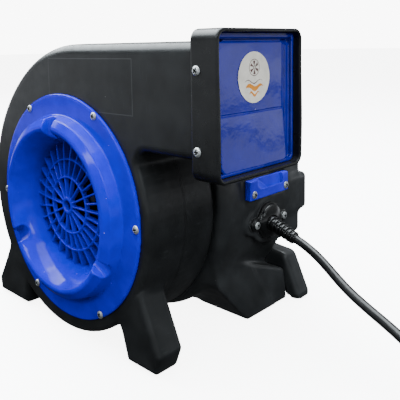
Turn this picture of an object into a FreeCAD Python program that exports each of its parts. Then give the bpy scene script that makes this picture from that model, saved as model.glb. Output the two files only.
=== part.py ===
"""Small centrifugal air mover with a side intake and a flap-valve outlet.

Frame: the origin is the point where the fan axis meets the front face of the
intake flange. +Y runs along the fan axis into the machine, +X is the outlet
direction and +Z is up. Lengths are millimetres, angles are degrees.
"""
import FreeCAD
import Part
import math
import os
import Sketcher
from FreeCAD import Placement, Rotation, Vector

SIZES = {
    # whole machine
    "floor": -160.0, "wall": 3.0, "slack": 0.05,
    # scroll housing
    "side_face": 4.0, "scroll_back": 110.0, "scroll_right": 146.0, "scroll_bottom": 155.5,
    "scroll_left": 170.0, "duct_top": 194.0, "duct_low": 82.0, "duct_end": 228.0,
    "duct_back": 131.8, "flare_start": 150.0, "flare_end": 200.0, "tongue_radius": 145.0,
    "scroll_edge": 7.0, "intake_hole": 112.0, "rear_hole": 118.0, "leg_back": 40.0,
    # intake ring
    "flange_radius": 136.0, "flange_thick": 4.0, "spigot_radius": 107.0, "lip_rise": 18.9,
    "lip_round": 7.0, "crest_radius": 97.0, "bowl_round": 55.0, "throat_radius": 76.0,
    "throat_end": 24.0, "notch_width": 18.0, "notch_floor": -9.0, "notch_turn": 1.0,
    "fin_thick": 2.0, "fin_depth": 5.5, "guard_hub": 10.2, "guard_eye": 6.0, "guard_inner": 34.0,
    "guard_outer": 56.0, "guard_rib": 2.2, "guard_hub_y": 5.8, "guard_inner_y": 7.2,
    "guard_outer_y": 10.0, "guard_throat_y": 13.5, "ring_screw_circle": 132.0,
    # outlet collar, flap frame and flap
    "collar_start": 213.0, "collar_end": 246.0, "collar_back": 135.8, "collar_low": 63.4,
    "collar_top": 205.4, "collar_wall": 3.6, "collar_round": 10.0, "collar_mouth_round": 6.4,
    "frame_thick": 3.0, "frame_margin": 16.0, "frame_rim": 6.0, "hinge_x": 234.5, "hinge_z": 198.2,
    "knuckle_radius": 3.2, "pin_radius": 1.5, "flap_left": 15.5, "flap_right": 120.5,
    "flap_thick": 2.5, "flap_bottom": 69.5, "flap_crease": 124.5, "flap_top": 193.0,
    "label_radius": 25.0, "label_z": 158.3, "label_thick": 0.4,
    "collar_screw_x": 220.9, "collar_screw_low": 92.6, "collar_screw_high": 167.3,
    # motor housing and rear cover
    "drum_radius": 158.0, "drum_front": 114.0, "drum_back": 266.0, "drum_front_edge": 10.0,
    "drum_back_edge": 28.0, "drum_hole": 112.0, "cover_hole": 108.0, "pad_face": 158.2,
    "base_bottom": -157.0, "base_top": -88.0, "base_back": 263.0,
    "leg_front": 262.0, "leg_end": 290.0, "cover_radius": 126.0, "cover_back": 284.0,
    "cover_edge": 8.0, "drum_back_room": 126.0, "vent_hole": 62.0,
    "vent_radius": 72.0, "vent_thick": 5.0, "cover_screw_circle": 115.0,
    "vent_screw_circle": 66.5, "foot_radius": 9.0,
    # drive
    "plate_radius": 136.0, "plate_thick": 2.0, "plate_hole": 26.0, "gasket_inner": 122.0,
    "plate_screw_circle": 129.0, "shaft_radius": 7.5, "stud_radius": 5.0, "shaft_front": 44.0,
    "shaft_back": 244.0, "hub_front": 62.0, "wheel_radius": 112.0, "wheel_front": 24.0,
    "wheel_back": 97.0, "wheel_eye": 84.0, "wheel_hub": 18.0, "blade_thick": 2.0,
    "blade_arc": 62.0, "blade_x": 38.0, "blade_z": -60.0, "bearing_radius": 17.5,
    "bearing_width": 11.0, "front_bearing": 117.0, "rear_bearing": 206.0, "shell_radius": 65.0,
    "shell_front": 128.0, "shell_back": 205.0, "stator_bore": 38.0, "air_gap": 0.4,
    "stator_front": 146.0, "stator_back": 186.0, "shield_back": 219.0, "bolt_circle": 71.0,
    "bolt_radius": 2.5, "cooling_fan_radius": 48.0, "capacitor_radius": 20.0,
    "capacitor_x": -88.0, "capacitor_z": -78.0,
    # cord entry and strap bracket
    "bracket_front": 167.0, "bracket_left": 150.0, "bracket_right": 229.0, "bracket_low": 4.0,
    "bracket_top": 28.0, "gland_y": 195.3, "gland_z": -29.5, "gland_face": 164.0,
    "gland_screw_gap": 57.3, "gland_lobe": 8.0, "dome_radius": 23.0, "dome_rise": 9.0,
    "cord_radius": 5.2, "boot_x": 163.0, "boot_y": 190.0, "boot_z": -28.0, "boot_length": 46.0,
    # fasteners
    "screw_radius": 2.3, "screw_head": 4.75, "screw_head_rise": 2.6, "screw_length": 12.0,
}

doc = FreeCAD.newDocument("AirMover")
sheet = doc.addObject("Spreadsheet::Sheet", "Sizes")
pieces = []

X_AXIS, Y_AXIS, Z_AXIS = Vector(1, 0, 0), Vector(0, 1, 0), Vector(0, 0, 1)
PAST = 10.0      # how far a cutting tool runs past the face that it opens


class Size:
    """A length that keeps both its value and the sheet expression it comes from."""

    def __init__(self, text, value):
        self.text = text
        self.value = value

    def __add__(self, other):
        return Size(f"({self.text} + {text_of(other)})", self.value + value_of(other))

    def __radd__(self, other):
        return self + other

    def __sub__(self, other):
        return Size(f"({self.text} - {text_of(other)})", self.value - value_of(other))

    def __rsub__(self, other):
        return Size(f"({text_of(other)} - {self.text})", value_of(other) - self.value)

    def __mul__(self, other):
        return Size(f"({self.text} * {text_of(other)})", self.value * value_of(other))

    def __rmul__(self, other):
        return self * other

    def __truediv__(self, other):
        return Size(f"({self.text} / {text_of(other)})", self.value / value_of(other))

    def __neg__(self):
        return 0 - self


def text_of(number):
    return number.text if isinstance(number, Size) else f"({number:.6f})"


def value_of(number):
    return number.value if isinstance(number, Size) else float(number)


def root_of(size):
    return Size(f"sqrt({size.text})", math.sqrt(size.value))


class Sheet:
    """Attribute access to every alias of the spreadsheet, as a Size."""


s = Sheet()
for row, (alias, length) in enumerate(SIZES.items(), start=1):
    sheet.set(f"A{row}", alias)
    sheet.set(f"B{row}", str(length))
    sheet.setAlias(f"B{row}", alias)
    setattr(s, alias, Size(f"Sizes.{alias}", length))
doc.recompute()


# ---------------------------------------------------------------- Part helpers

def bind(thing, prop, size):
    """Set a length and, when it comes from the sheet, tie it to its expression."""
    setattr(thing, prop, value_of(size))
    if isinstance(size, Size):
        thing.setExpression(prop, size.text)


def place(thing, at, rotation=Rotation()):
    thing.Placement = Placement(Vector(*[value_of(v) for v in at]), rotation)
    for axis, size in zip("xyz", at):
        if isinstance(size, Size):
            thing.setExpression(f"Placement.Base.{axis}", size.text)
    return thing


def box(name, low, high):
    thing = doc.addObject("Part::Box", name)
    for prop, start, end in zip(("Length", "Width", "Height"), low, high):
        bind(thing, prop, end - start)
    return place(thing, low)


def rod(name, radius, start, length, along=Y_AXIS):
    """A solid cylinder from start, running length along a direction."""
    thing = doc.addObject("Part::Cylinder", name)
    bind(thing, "Radius", radius)
    bind(thing, "Height", length)
    return place(thing, start, Rotation(Z_AXIS, along))


def taper(name, radius, end_radius, start, length, along):
    thing = doc.addObject("Part::Cone", name)
    bind(thing, "Radius1", radius)
    bind(thing, "Radius2", end_radius)
    bind(thing, "Height", length)
    return place(thing, start, Rotation(Z_AXIS, along))


def disc(name, radius, front, back):
    """A cylinder on the fan axis between two depths."""
    return rod(name, radius, (0.0, front, 0.0), back - front)


def fuse(name, *members):
    thing = doc.addObject("Part::MultiFuse", name)
    thing.Shapes = list(members)
    return thing


def cut(name, base, *tools):
    thing = doc.addObject("Part::Cut", name)
    thing.Base = base
    thing.Tool = tools[0] if len(tools) == 1 else fuse(name + "_tools", *tools)
    return thing


def common(name, first, second):
    thing = doc.addObject("Part::Common", name)
    thing.Base = first
    thing.Tool = second
    return thing


def washer(name, outer, inner, front, back):
    return cut(name, disc(name + "_outer", outer, front, back),
               disc(name + "_bore", inner, front - PAST, back + PAST))


def group(name, members):
    thing = doc.addObject("Part::Compound", name)
    thing.Links = list(members)
    return thing


def round_edges(name, base, radius, chosen):
    """Round the edges of a solid that the test picks out."""
    doc.recompute()
    thing = doc.addObject("Part::Fillet", name)
    thing.Base = base
    found = [i for i, edge in enumerate(base.Shape.Edges, start=1) if chosen(edge)]
    thing.Edges = [(i, value_of(radius), value_of(radius)) for i in found]
    return thing


def on_circle(radius, angle):
    """X and Z of a point on a circle about the fan axis."""
    turn = math.radians(angle)
    return radius * math.cos(turn), radius * math.sin(turn)


def spread(count, first=0.0):
    return [first + 360.0 * i / count for i in range(count)]


def holes(name, circle, radius, front, back, angles):
    """A ring of cylinders parallel to the fan axis, used as a cutting tool."""
    rods = []
    for angle in angles:
        x, z = on_circle(circle, angle)
        rods.append(rod(name, radius, (x, front, z), back - front))
    return rods


def keep(label, thing):
    """Register a finished sub-part under the name of its file."""
    thing.Label = label
    pieces.append(thing)
    return thing


# ---------------------------------------------------------- PartDesign helpers

class Turn:
    """Marks that the next stretch of an outline is an arc about a centre."""

    def __init__(self, x, y, anticlockwise=True):
        self.x = x
        self.y = y
        self.anticlockwise = anticlockwise


def new_body(name):
    return doc.addObject("PartDesign::Body", name)


def origin_plane(body, role):
    return next(item for item in body.Origin.OriginFeatures if item.Role == role)


def pin_point(sketch, geometry, point, x, y):
    """Hold one sketch point at its place, by sheet sizes where they are given."""
    for kind, size, axis in (("DistanceX", x, -2), ("DistanceY", y, -1)):
        if value_of(size) == 0:
            sketch.addConstraint(Sketcher.Constraint("PointOnObject", geometry, point, axis))
            continue
        rule = Sketcher.Constraint(kind, -1, 1, geometry, point, value_of(size))
        index = sketch.addConstraint(rule)
        if isinstance(size, Size):
            sketch.setExpression(f"Constraints[{index}]", size.text)


def draw_outline(sketch, outline):
    """Add one closed outline of lines and arcs to a sketch."""
    corners = []
    turns = {}
    for item in outline:
        if isinstance(item, Turn):
            turns[len(corners) - 1] = item
        else:
            corners.append(item)
    added = []
    for i, corner in enumerate(corners):
        start = Vector(value_of(corner[0]), value_of(corner[1]), 0)
        following = corners[(i + 1) % len(corners)]
        end = Vector(value_of(following[0]), value_of(following[1]), 0)
        turn = turns.get(i)
        if turn is None:
            index = sketch.addGeometry(Part.LineSegment(start, end), False)
            added.append((index, 1, 2))
            continue
        centre = Vector(value_of(turn.x), value_of(turn.y), 0)
        circle = Part.Circle(centre, Z_AXIS, (start - centre).Length)
        first, last = (start, end) if turn.anticlockwise else (end, start)
        angles = [math.atan2(p.y - centre.y, p.x - centre.x) for p in (first, last)]
        if angles[1] <= angles[0]:
            angles[1] += 2 * math.pi
        index = sketch.addGeometry(Part.ArcOfCircle(circle, *angles), False)
        ends = (1, 2) if turn.anticlockwise else (2, 1)
        added.append((index, *ends))
        sideways = abs(end.x - start.x) < abs(end.y - start.y)
        kind, size = ("DistanceX", turn.x) if sideways else ("DistanceY", turn.y)
        if value_of(size) == 0:
            axis = -2 if sideways else -1
            sketch.addConstraint(Sketcher.Constraint("PointOnObject", index, 3, axis))
        else:
            rule = Sketcher.Constraint(kind, -1, 1, index, 3, value_of(size))
            number = sketch.addConstraint(rule)
            if isinstance(size, Size):
                sketch.setExpression(f"Constraints[{number}]", size.text)
    for i, (index, start, _) in enumerate(added):
        before, _, end = added[i - 1]
        sketch.addConstraint(Sketcher.Constraint("Coincident", before, end, index, start))
        pin_point(sketch, index, start, *corners[i])


def draw_circle(sketch, x, y, radius):
    centre = Vector(value_of(x), value_of(y), 0)
    index = sketch.addGeometry(Part.Circle(centre, Z_AXIS, value_of(radius)), False)
    rule = sketch.addConstraint(Sketcher.Constraint("Radius", index, value_of(radius)))
    if isinstance(radius, Size):
        sketch.setExpression(f"Constraints[{rule}]", radius.text)
    pin_point(sketch, index, 3, x, y)


def new_sketch(body, role, level=0.0):
    """A sketch on an origin plane, moved to a level along the plane's world axis."""
    sketch = body.newObject("Sketcher::SketchObject", "Sketch")
    sketch.AttachmentSupport = [(origin_plane(body, role), "")]
    sketch.MapMode = "FlatFace"
    away = -level if role == "XZ_Plane" else level
    sketch.AttachmentOffset = Placement(Vector(0, 0, value_of(away)), Rotation())
    if isinstance(away, Size):
        sketch.setExpression("AttachmentOffset.Base.z", away.text)
    return sketch


def swept(body, kind, role, level, length, *outlines):
    """Pad or pocket outlines from a level towards the positive world axis."""
    sketch = new_sketch(body, role, level)
    for outline in outlines:
        if isinstance(outline, tuple):
            draw_circle(sketch, *outline)
        else:
            draw_outline(sketch, outline)
    feature = body.newObject(f"PartDesign::{kind}", kind)
    feature.Profile = sketch
    feature.Reversed = (role == "XZ_Plane") == (kind == "Pad")
    bind(feature, "Length", length)
    body.Tip = feature
    return feature


def pad(body, role, level, length, *outlines):
    return swept(body, "Pad", role, level, length, *outlines)


def pocket(body, role, level, length, *outlines):
    doc.recompute()
    before = body.Tip.Shape.Volume
    feature = swept(body, "Pocket", role, level, length, *outlines)
    doc.recompute()
    if feature.Shape.Volume >= before:
        raise RuntimeError(f"a pocket in {body.Name} removed nothing")
    return feature


def spun(body, *outlines):
    """Turn (radius, depth) outlines about the fan axis."""
    sketch = new_sketch(body, "XY_Plane")
    for outline in outlines:
        draw_outline(sketch, outline)
    feature = body.newObject("PartDesign::Revolution", "Revolution")
    feature.Profile = sketch
    feature.ReferenceAxis = (sketch, ["V_Axis"])
    feature.Angle = 360
    body.Tip = feature
    return feature


def repeat(body, features, count):
    """Repeat features evenly about the fan axis."""
    feature = body.newObject("PartDesign::PolarPattern", "PolarPattern")
    feature.Originals = features
    y_axis = origin_plane(body, "Y_Axis")
    feature.Axis = (y_axis, [""])
    feature.Angle = 360
    feature.Occurrences = count
    body.Tip = feature
    return feature


def soften(body, radius, chosen):
    """Fillet the edges of the body's last feature that the test picks out."""
    doc.recompute()
    base = body.Tip
    found = [f"Edge{i}" for i, edge in enumerate(base.Shape.Edges, start=1) if chosen(edge)]
    feature = body.newObject("PartDesign::Fillet", "Fillet")
    feature.Base = (base, found)
    bind(feature, "Radius", radius)
    body.Tip = feature
    return feature


def lies_at(edge, axis, level):
    """True when every end of an edge is at a level along an axis."""
    return all(abs(getattr(v.Point, axis) - value_of(level)) < 0.01 for v in edge.Vertexes)


def runs_along(edge, axis):
    """True for a straight edge parallel to an axis."""
    if not isinstance(edge.Curve, Part.Line) or edge.Length < 1:
        return False
    return abs(abs(getattr(edge.Curve.Direction, axis)) - 1) < 0.001


# --------------------------------------------------------------- shared layout

RING_SCREWS = spread(6)
PLATE_SCREWS = spread(6, 30)
COVER_SCREWS = spread(4, 45)
VENT_SCREWS = spread(4, 0)
BOLTS = spread(4, 45)
NOTCHES = 3
BOOT_DIRECTION = Vector(0.951, -0.091, -0.294).normalize()
plate_front = s.scroll_back + s.slack
plate_back = plate_front + s.plate_thick
screw_hole = s.screw_radius + s.slack


def along_boot(distance):
    """A point on the straight line of the cord through its entry."""
    step = [distance * value for value in BOOT_DIRECTION]
    return tuple(start + move for start, move in zip((s.boot_x, s.boot_y, s.boot_z), step))


def screw(name, at, along, length=None):
    """A pan-head screw: at is the point under its head, along points to its tip."""
    back = Vector(along) * -1
    head = rod(name + "_head", s.screw_head, at, s.screw_head_rise, back)
    shank = rod(name + "_shank", s.screw_radius, at, length or s.screw_length, along)
    head = round_edges(name + "_crown", head, s.screw_head_rise * 0.6,
                       lambda edge: crown_edge(edge, at, back))
    return fuse(name, head, shank)


def crown_edge(edge, at, back):
    """True for the rim of a screw head that is away from the seat."""
    seat = Vector(*[value_of(v) for v in at])
    rise = (edge.Vertexes[0].Point - seat).dot(back)
    return isinstance(edge.Curve, Part.Circle) and rise > 1


def screws_on_circle(name, circle, depth, angles, length=None):
    members = []
    for angle in angles:
        x, z = on_circle(circle, angle)
        members.append(screw(name, (x, depth, z), Y_AXIS, length))
    return group(name, members)


# -------------------------------------------------------------- scroll housing

def scroll_outline(inset):
    """Outline of the scroll and duct seen along the fan axis, pulled in by a wall."""
    low_x = s.scroll_right - s.scroll_bottom
    left_arc = s.scroll_left + low_x
    left_z = left_arc - s.scroll_bottom
    top_x = s.duct_top - left_z - s.scroll_left
    tongue_x = s.scroll_right - s.tongue_radius
    tongue_arc = s.tongue_radius - inset
    duct_low = s.duct_low + inset
    tongue = tongue_x + root_of(tongue_arc * tongue_arc - duct_low * duct_low)
    end = s.duct_end + (PAST if value_of(inset) else 0.0)
    return [
        (end, s.duct_top - inset), (top_x, s.duct_top - inset),
        Turn(top_x, left_z), (inset - s.scroll_left, left_z),
        Turn(low_x, left_z), (low_x, inset - s.scroll_bottom),
        Turn(low_x, 0.0), (s.scroll_right - inset, 0.0),
        Turn(tongue_x, 0.0), (tongue, duct_low), (end, duct_low),
    ]


def flare_outline(inset, end):
    """Plan of the duct's widening towards the outlet."""
    return [
        (100.0, 50.0), (end, 50.0), (end, s.duct_back - inset),
        (s.flare_end - inset * 0.2, s.duct_back - inset),
        (s.flare_start - inset * 0.2, s.scroll_back - inset), (100.0, s.scroll_back - inset),
    ]


def make_scroll_housing():
    body = new_body("scroll_shell")
    pad(body, "XZ_Plane", s.side_face, s.scroll_back - s.side_face, scroll_outline(s.wall * 0))
    soften(body, s.scroll_edge,
           lambda edge: lies_at(edge, "y", s.side_face) and edge.Length > 20)
    pad(body, "XY_Plane", s.duct_low, s.duct_top - s.duct_low,
        flare_outline(s.wall * 0, s.duct_end))
    right_leg = [(86.0, -108.0), (105.0, s.base_bottom), (150.0, s.base_bottom),
                 (158.0, -136.0), (129.0, -72.0)]
    left_leg = [(-96.0, -110.0), (-138.0, -74.0), (-179.0, -136.0),
                (-176.0, s.base_bottom), (-104.0, s.base_bottom)]
    pad(body, "XZ_Plane", s.side_face, s.leg_back - s.side_face, right_leg)
    pad(body, "XZ_Plane", s.side_face, s.leg_back - s.side_face, left_leg)
    inner_front = s.side_face + s.wall
    inner_depth = s.scroll_back - s.wall - inner_front
    pocket(body, "XZ_Plane", inner_front, inner_depth, scroll_outline(s.wall))
    pocket(body, "XY_Plane", s.duct_low + s.wall, s.duct_top - s.duct_low - s.wall * 2,
           flare_outline(s.wall, s.duct_end + PAST))
    pocket(body, "XZ_Plane", s.side_face - PAST, PAST * 2, (0.0, 0.0, s.intake_hole))
    pocket(body, "XZ_Plane", s.scroll_back - PAST, PAST * 2, (0.0, 0.0, s.rear_hole))
    tools = holes("ring_screw_hole", s.ring_screw_circle, screw_hole, 0.0, s.leg_back * 0.5,
                  RING_SCREWS)
    tools += holes("plate_screw_hole", s.plate_screw_circle, screw_hole,
                   s.scroll_back - PAST, s.scroll_back + PAST, PLATE_SCREWS)
    tools += collar_holes()
    keep("scroll_housing", cut("scroll_housing", body, *tools))


# ------------------------------------------------------------------ intake ring

def make_intake_ring():
    """Flange, bell mouth and finger guard, moulded in one."""
    body = new_body("ring_moulding")
    round_y = s.lip_round - s.lip_rise
    skin = s.wall
    outer_x = s.spigot_radius - s.lip_round
    bowl_x = s.throat_radius + s.bowl_round
    bowl_y = s.throat_end - 2.0
    slope = math.sqrt(0.5)
    inner_round = s.lip_round - skin
    inner_bowl = s.bowl_round - skin
    spun(body, [
        (s.flange_radius, s.flange_thick), (s.flange_radius, 1.5),
        Turn(s.flange_radius - 1.5, 1.5, False), (s.flange_radius - 1.5, 0.0),
        (s.spigot_radius, 0.0), (s.spigot_radius, round_y),
        Turn(outer_x, round_y, False), (outer_x, -s.lip_rise),
        (s.crest_radius, -s.lip_rise), Turn(s.crest_radius, round_y, False),
        (s.crest_radius - s.lip_round * slope, round_y - s.lip_round * slope),
        (bowl_x - s.bowl_round * slope, bowl_y - s.bowl_round * slope),
        Turn(bowl_x, bowl_y, False), (s.throat_radius, bowl_y),
        (s.throat_radius, s.throat_end), (s.throat_radius + skin, s.throat_end),
        (s.throat_radius + skin, bowl_y), Turn(bowl_x, bowl_y),
        (bowl_x - inner_bowl * slope, bowl_y - inner_bowl * slope),
        (s.crest_radius - inner_round * slope, round_y - inner_round * slope),
        Turn(s.crest_radius, round_y), (s.crest_radius, skin - s.lip_rise),
        (outer_x, skin - s.lip_rise), Turn(outer_x, round_y),
        (s.spigot_radius - skin, round_y), (s.spigot_radius - skin, s.flange_thick),
    ])
    half = s.notch_width / 2
    turn = math.radians(90 + SIZES["notch_turn"])

    def across(near, far, spare):
        """Plan of one radial notch at the top of the ring."""
        side = half + spare
        corners = [(-side, near), (side, near), (side, far), (-side, far)]
        cos, sin = math.cos(turn - math.pi / 2), math.sin(turn - math.pi / 2)
        return [(x * cos - z * sin, x * sin + z * cos) for x, z in corners]

    trough = pad(body, "XZ_Plane", s.notch_floor, 3.0,
                 across(s.crest_radius - 10.0, s.spigot_radius - 1.0, 3.0))
    repeat(body, [trough], NOTCHES)
    slot = pocket(body, "XZ_Plane", -s.lip_rise - PAST, s.notch_floor + s.lip_rise + PAST,
                  across(s.throat_radius, s.spigot_radius + PAST, 0.0))
    repeat(body, [slot], NOTCHES)
    reach = s.throat_radius + 1.5
    dome = [(s.guard_inner, s.guard_inner_y), (s.guard_outer, s.guard_outer_y),
            (reach, s.guard_throat_y), (reach, s.guard_throat_y + s.fin_depth),
            (s.guard_outer, s.guard_outer_y + s.fin_depth),
            (s.guard_inner, s.guard_inner_y + s.fin_depth)]
    hub_edge = s.guard_hub - 2.0
    spoke = [(hub_edge, s.guard_hub_y)] + dome + [(hub_edge, s.guard_hub_y + s.fin_depth)]
    long_fin = pad(body, "XY_Plane", s.fin_thick / -2, s.fin_thick, spoke)
    repeat(body, [long_fin], 14)
    turn_half = math.radians(180 / 14)
    short = new_sketch(body, "XY_Plane", s.fin_thick / -2)
    draw_outline(short, dome)
    short.AttachmentOffset = Placement(
        Rotation(Y_AXIS, math.degrees(turn_half)).multVec(Vector(0, 0, -1)),
        Rotation(Y_AXIS, math.degrees(turn_half)))
    short.setExpression("AttachmentOffset.Base.z", None)
    short_fin = body.newObject("PartDesign::Pad", "Pad")
    short_fin.Profile = short
    bind(short_fin, "Length", s.fin_thick)
    body.Tip = short_fin
    repeat(body, [short_fin], 14)
    rib = s.guard_rib / 2
    for radius, depth in ((s.guard_inner, s.guard_inner_y), (s.guard_outer, s.guard_outer_y)):
        spun(body, [(radius - rib, depth), (radius + rib, depth),
                    (radius + rib, depth + s.fin_depth), (radius - rib, depth + s.fin_depth)])
    spun(body, [(s.guard_eye, s.guard_hub_y - 0.8), (s.guard_hub, s.guard_hub_y - 0.8),
                (s.guard_hub, s.guard_hub_y + s.fin_depth + 0.5),
                (s.guard_eye, s.guard_hub_y + s.fin_depth + 0.5)])
    tools = holes("ring_screw_hole", s.ring_screw_circle, screw_hole, -PAST,
                  s.flange_thick + 1.0, RING_SCREWS)
    keep("intake_ring", cut("intake_ring_part", body, *tools))
    keep("intake_screws", screws_on_circle("ring_screw", s.ring_screw_circle, 0.0, RING_SCREWS))


# --------------------------------------------------- outlet collar, frame, flap

def collar_holes():
    """Holes for the four screws that hold the collar on the duct."""
    tools = []
    for z in (s.collar_screw_low, s.collar_screw_high):
        tools.append(rod("collar_screw_hole", screw_hole, (s.collar_screw_x, -PAST, z),
                         s.collar_back + PAST * 2))
    return tools


def inner_corner(edge):
    """True for the four long corners inside the collar's mouth."""
    if not runs_along(edge, "x"):
        return False
    y = edge.Vertexes[0].Point.y
    return abs(y - value_of(s.collar_wall)) < 0.01 or \
        abs(y - value_of(s.collar_back - s.collar_wall)) < 0.01


def make_collar():
    body = new_body("collar_shell")
    pad(body, "YZ_Plane", s.collar_start, s.collar_end - s.collar_start, [
        (0.0, s.collar_low), (s.collar_back, s.collar_low),
        (s.collar_back, s.collar_top), (0.0, s.collar_top)])
    soften(body, s.collar_round, lambda edge: runs_along(edge, "x"))
    skin = s.collar_wall
    pocket(body, "YZ_Plane", s.collar_start + s.wall, s.collar_end, [
        (skin, s.collar_low + skin), (s.collar_back - skin, s.collar_low + skin),
        (s.collar_back - skin, s.collar_top - skin), (skin, s.collar_top - skin)])
    soften(body, s.collar_mouth_round, lambda edge: inner_corner(edge))
    gap = 0.2
    pocket(body, "YZ_Plane", s.collar_start - PAST, PAST * 2, [
        (s.side_face - gap, s.duct_low - gap), (s.duct_back + gap, s.duct_low - gap),
        (s.duct_back + gap, s.duct_top + gap), (s.side_face - gap, s.duct_top + gap)])
    keep("outlet_collar", cut("outlet_collar", body, *collar_holes()))
    members = []
    for z in (s.collar_screw_low, s.collar_screw_high):
        near = (s.collar_screw_x, 0.0, z)
        far = (s.collar_screw_x, s.collar_back, z)
        members.append(screw("collar_screw", near, Y_AXIS, 9.0))
        members.append(screw("collar_screw", far, Vector(0, -1, 0), 9.0))
    keep("collar_screws", group("collar_screws", members))


def make_flap_frame():
    """Seat that the flap closes on, with the two ears that carry its pin."""
    gap = 0.4
    low_y, high_y = s.collar_wall + gap, s.collar_back - s.collar_wall - gap
    low_z, high_z = s.collar_low + s.collar_wall + gap, s.collar_top - s.collar_wall - gap
    back = s.duct_end + 0.2
    front = back + s.frame_thick
    plate = box("frame_plate", (back, low_y, low_z), (front, high_y, high_z))
    envelope = round_edges("frame_envelope", box("frame_room", (back - 1.0, low_y, low_z),
                                                 (front + PAST * 2, high_y, high_z)), 7.0,
                           lambda edge: runs_along(edge, "x"))
    window = box("frame_window", (back - PAST, low_y + s.frame_margin, low_z + s.frame_margin),
                 (front + PAST, high_y - s.frame_margin, high_z - s.frame_margin))
    rims = []
    for near, far in ((low_y, low_y + 3.0), (high_y - 3.0, high_y)):
        rims.append(box("frame_rim", (back, near, low_z), (front + s.frame_rim, far, high_z)))
        ear_near = near if near is low_y else near - 2.0
        rims.append(box("frame_ear", (front - 1.0, ear_near, s.hinge_z - 4.0),
                        (s.hinge_x + 3.5, ear_near + 5.0, s.hinge_z + 3.0)))
    pin_hole = rod("pin_hole", s.pin_radius + 0.02, (s.hinge_x, low_y + 1.0, s.hinge_z),
                   high_y - low_y - 2.0)
    solid = fuse("frame_solid", cut("frame_open", plate, window), *rims)
    keep("flap_frame", cut("flap_frame", common("frame_trimmed", solid, envelope), pin_hole))
    keep("flap_pin", rod("flap_pin", s.pin_radius, (s.hinge_x, low_y + 1.2, s.hinge_z),
                         high_y - low_y - 2.4))


def make_flap():
    body = new_body("flap_panel")
    back_top = s.duct_end + s.frame_thick + 0.5
    front_top = back_top + s.flap_thick
    kick = 3.2
    panel = [(back_top, s.flap_top), (back_top, s.flap_crease), (back_top + kick, s.flap_bottom),
             (front_top + kick, s.flap_bottom), (front_top, s.flap_crease),
             (front_top, s.flap_top)]
    pad(body, "XZ_Plane", s.flap_left, s.flap_right - s.flap_left, panel)
    soften(body, 6.0, lambda edge: runs_along(edge, "x") and lies_at(edge, "z", s.flap_bottom))
    knuckle_gap = 10.0
    ends = (s.collar_wall + 6.6, s.collar_back - s.collar_wall - 6.6)
    pad(body, "XZ_Plane", ends[0], ends[1] - ends[0], (s.hinge_x, s.hinge_z, s.knuckle_radius))
    pad(body, "XZ_Plane", s.flap_left + knuckle_gap,
        s.flap_right - s.flap_left - knuckle_gap * 2,
        [(back_top, s.flap_top - 4.0), (front_top, s.flap_top - 4.0),
         (s.hinge_x + 1.0, s.hinge_z - 2.2), (s.hinge_x - 2.0, s.hinge_z - 1.6)])
    bore = rod("flap_bore", s.pin_radius + s.slack, (s.hinge_x, 0.0, s.hinge_z), s.collar_back)
    keep("outlet_flap", cut("outlet_flap", body, bore))
    middle = (s.flap_left + s.flap_right) / 2
    keep("flap_label", rod("flap_label", s.label_radius, (front_top, middle, s.label_z),
                           s.label_thick, X_AXIS))


# ------------------------------------------------- motor housing and rear cover

def base_outline(inset):
    """Front view of the base under the motor housing, with an arch between its feet."""
    top, low = 138.0 - inset, s.base_bottom + inset
    side = 145.5 - inset
    half = [(70.0 + inset, low), (142.0 - inset, low), (side, -152.0 + inset),
            (side, -146.0), (top, s.base_top), (top, -60.0)]
    arch = [(-54.0 - inset, inset - 142.0), (54.0 + inset, inset - 142.0)]
    return arch + half + [(-x, z) for x, z in reversed(half)]


def base_solid(name, inset):
    """The base block, with a leaning front and a top that slopes down to the back."""
    body = new_body(name)
    front = s.drum_front + 2.0 + inset
    back = s.base_back - inset
    pad(body, "XZ_Plane", front, back - front, base_outline(inset))
    wide = 200.0
    shift = inset * 1.4
    pocket(body, "YZ_Plane", -wide, wide * 2, [
        (90.0, -76.0 + shift), (166.0, s.base_bottom - 1.0 + shift), (166.0, -190.0),
        (90.0, -190.0)])
    pocket(body, "YZ_Plane", -wide, wide * 2, [
        (170.0, inset * -1.0 - 84.5), (264.0, inset * -1.0 - 116.0), (264.0, -30.0),
        (170.0, -30.0)])
    return body


def rounded_box(name, low, high, radius):
    return round_edges(name, box(name + "_block", low, high), radius, lambda edge: True)


def rear_arms():
    """Bent arms that carry the rear feet: a beam off the drum's back and a leg down."""
    arms = []
    for side in (1, -1):
        outline = [(86.0, -100.0), (111.0, -99.0), (141.6, -101.0), (162.6, s.base_bottom),
                   (141.0, s.base_bottom), (127.0, -126.0), (100.0, -124.0)]
        outline = [(x * side, z) for x, z in outline]
        body = new_body("rear_arm")
        pad(body, "XZ_Plane", s.leg_front, s.leg_end - s.leg_front, outline)
        soften(body, 5.0, lambda edge: lies_at(edge, "y", s.leg_end))
        root = new_body("arm_root")
        pad(root, "XZ_Plane", s.base_back - 4.0, s.leg_front - s.base_back + 8.0,
            [(86.0 * side, -100.0), (111.0 * side, -99.0), (118.0 * side, -125.0),
             (100.0 * side, -124.0)])
        arms += [body, root]
    return arms


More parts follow.
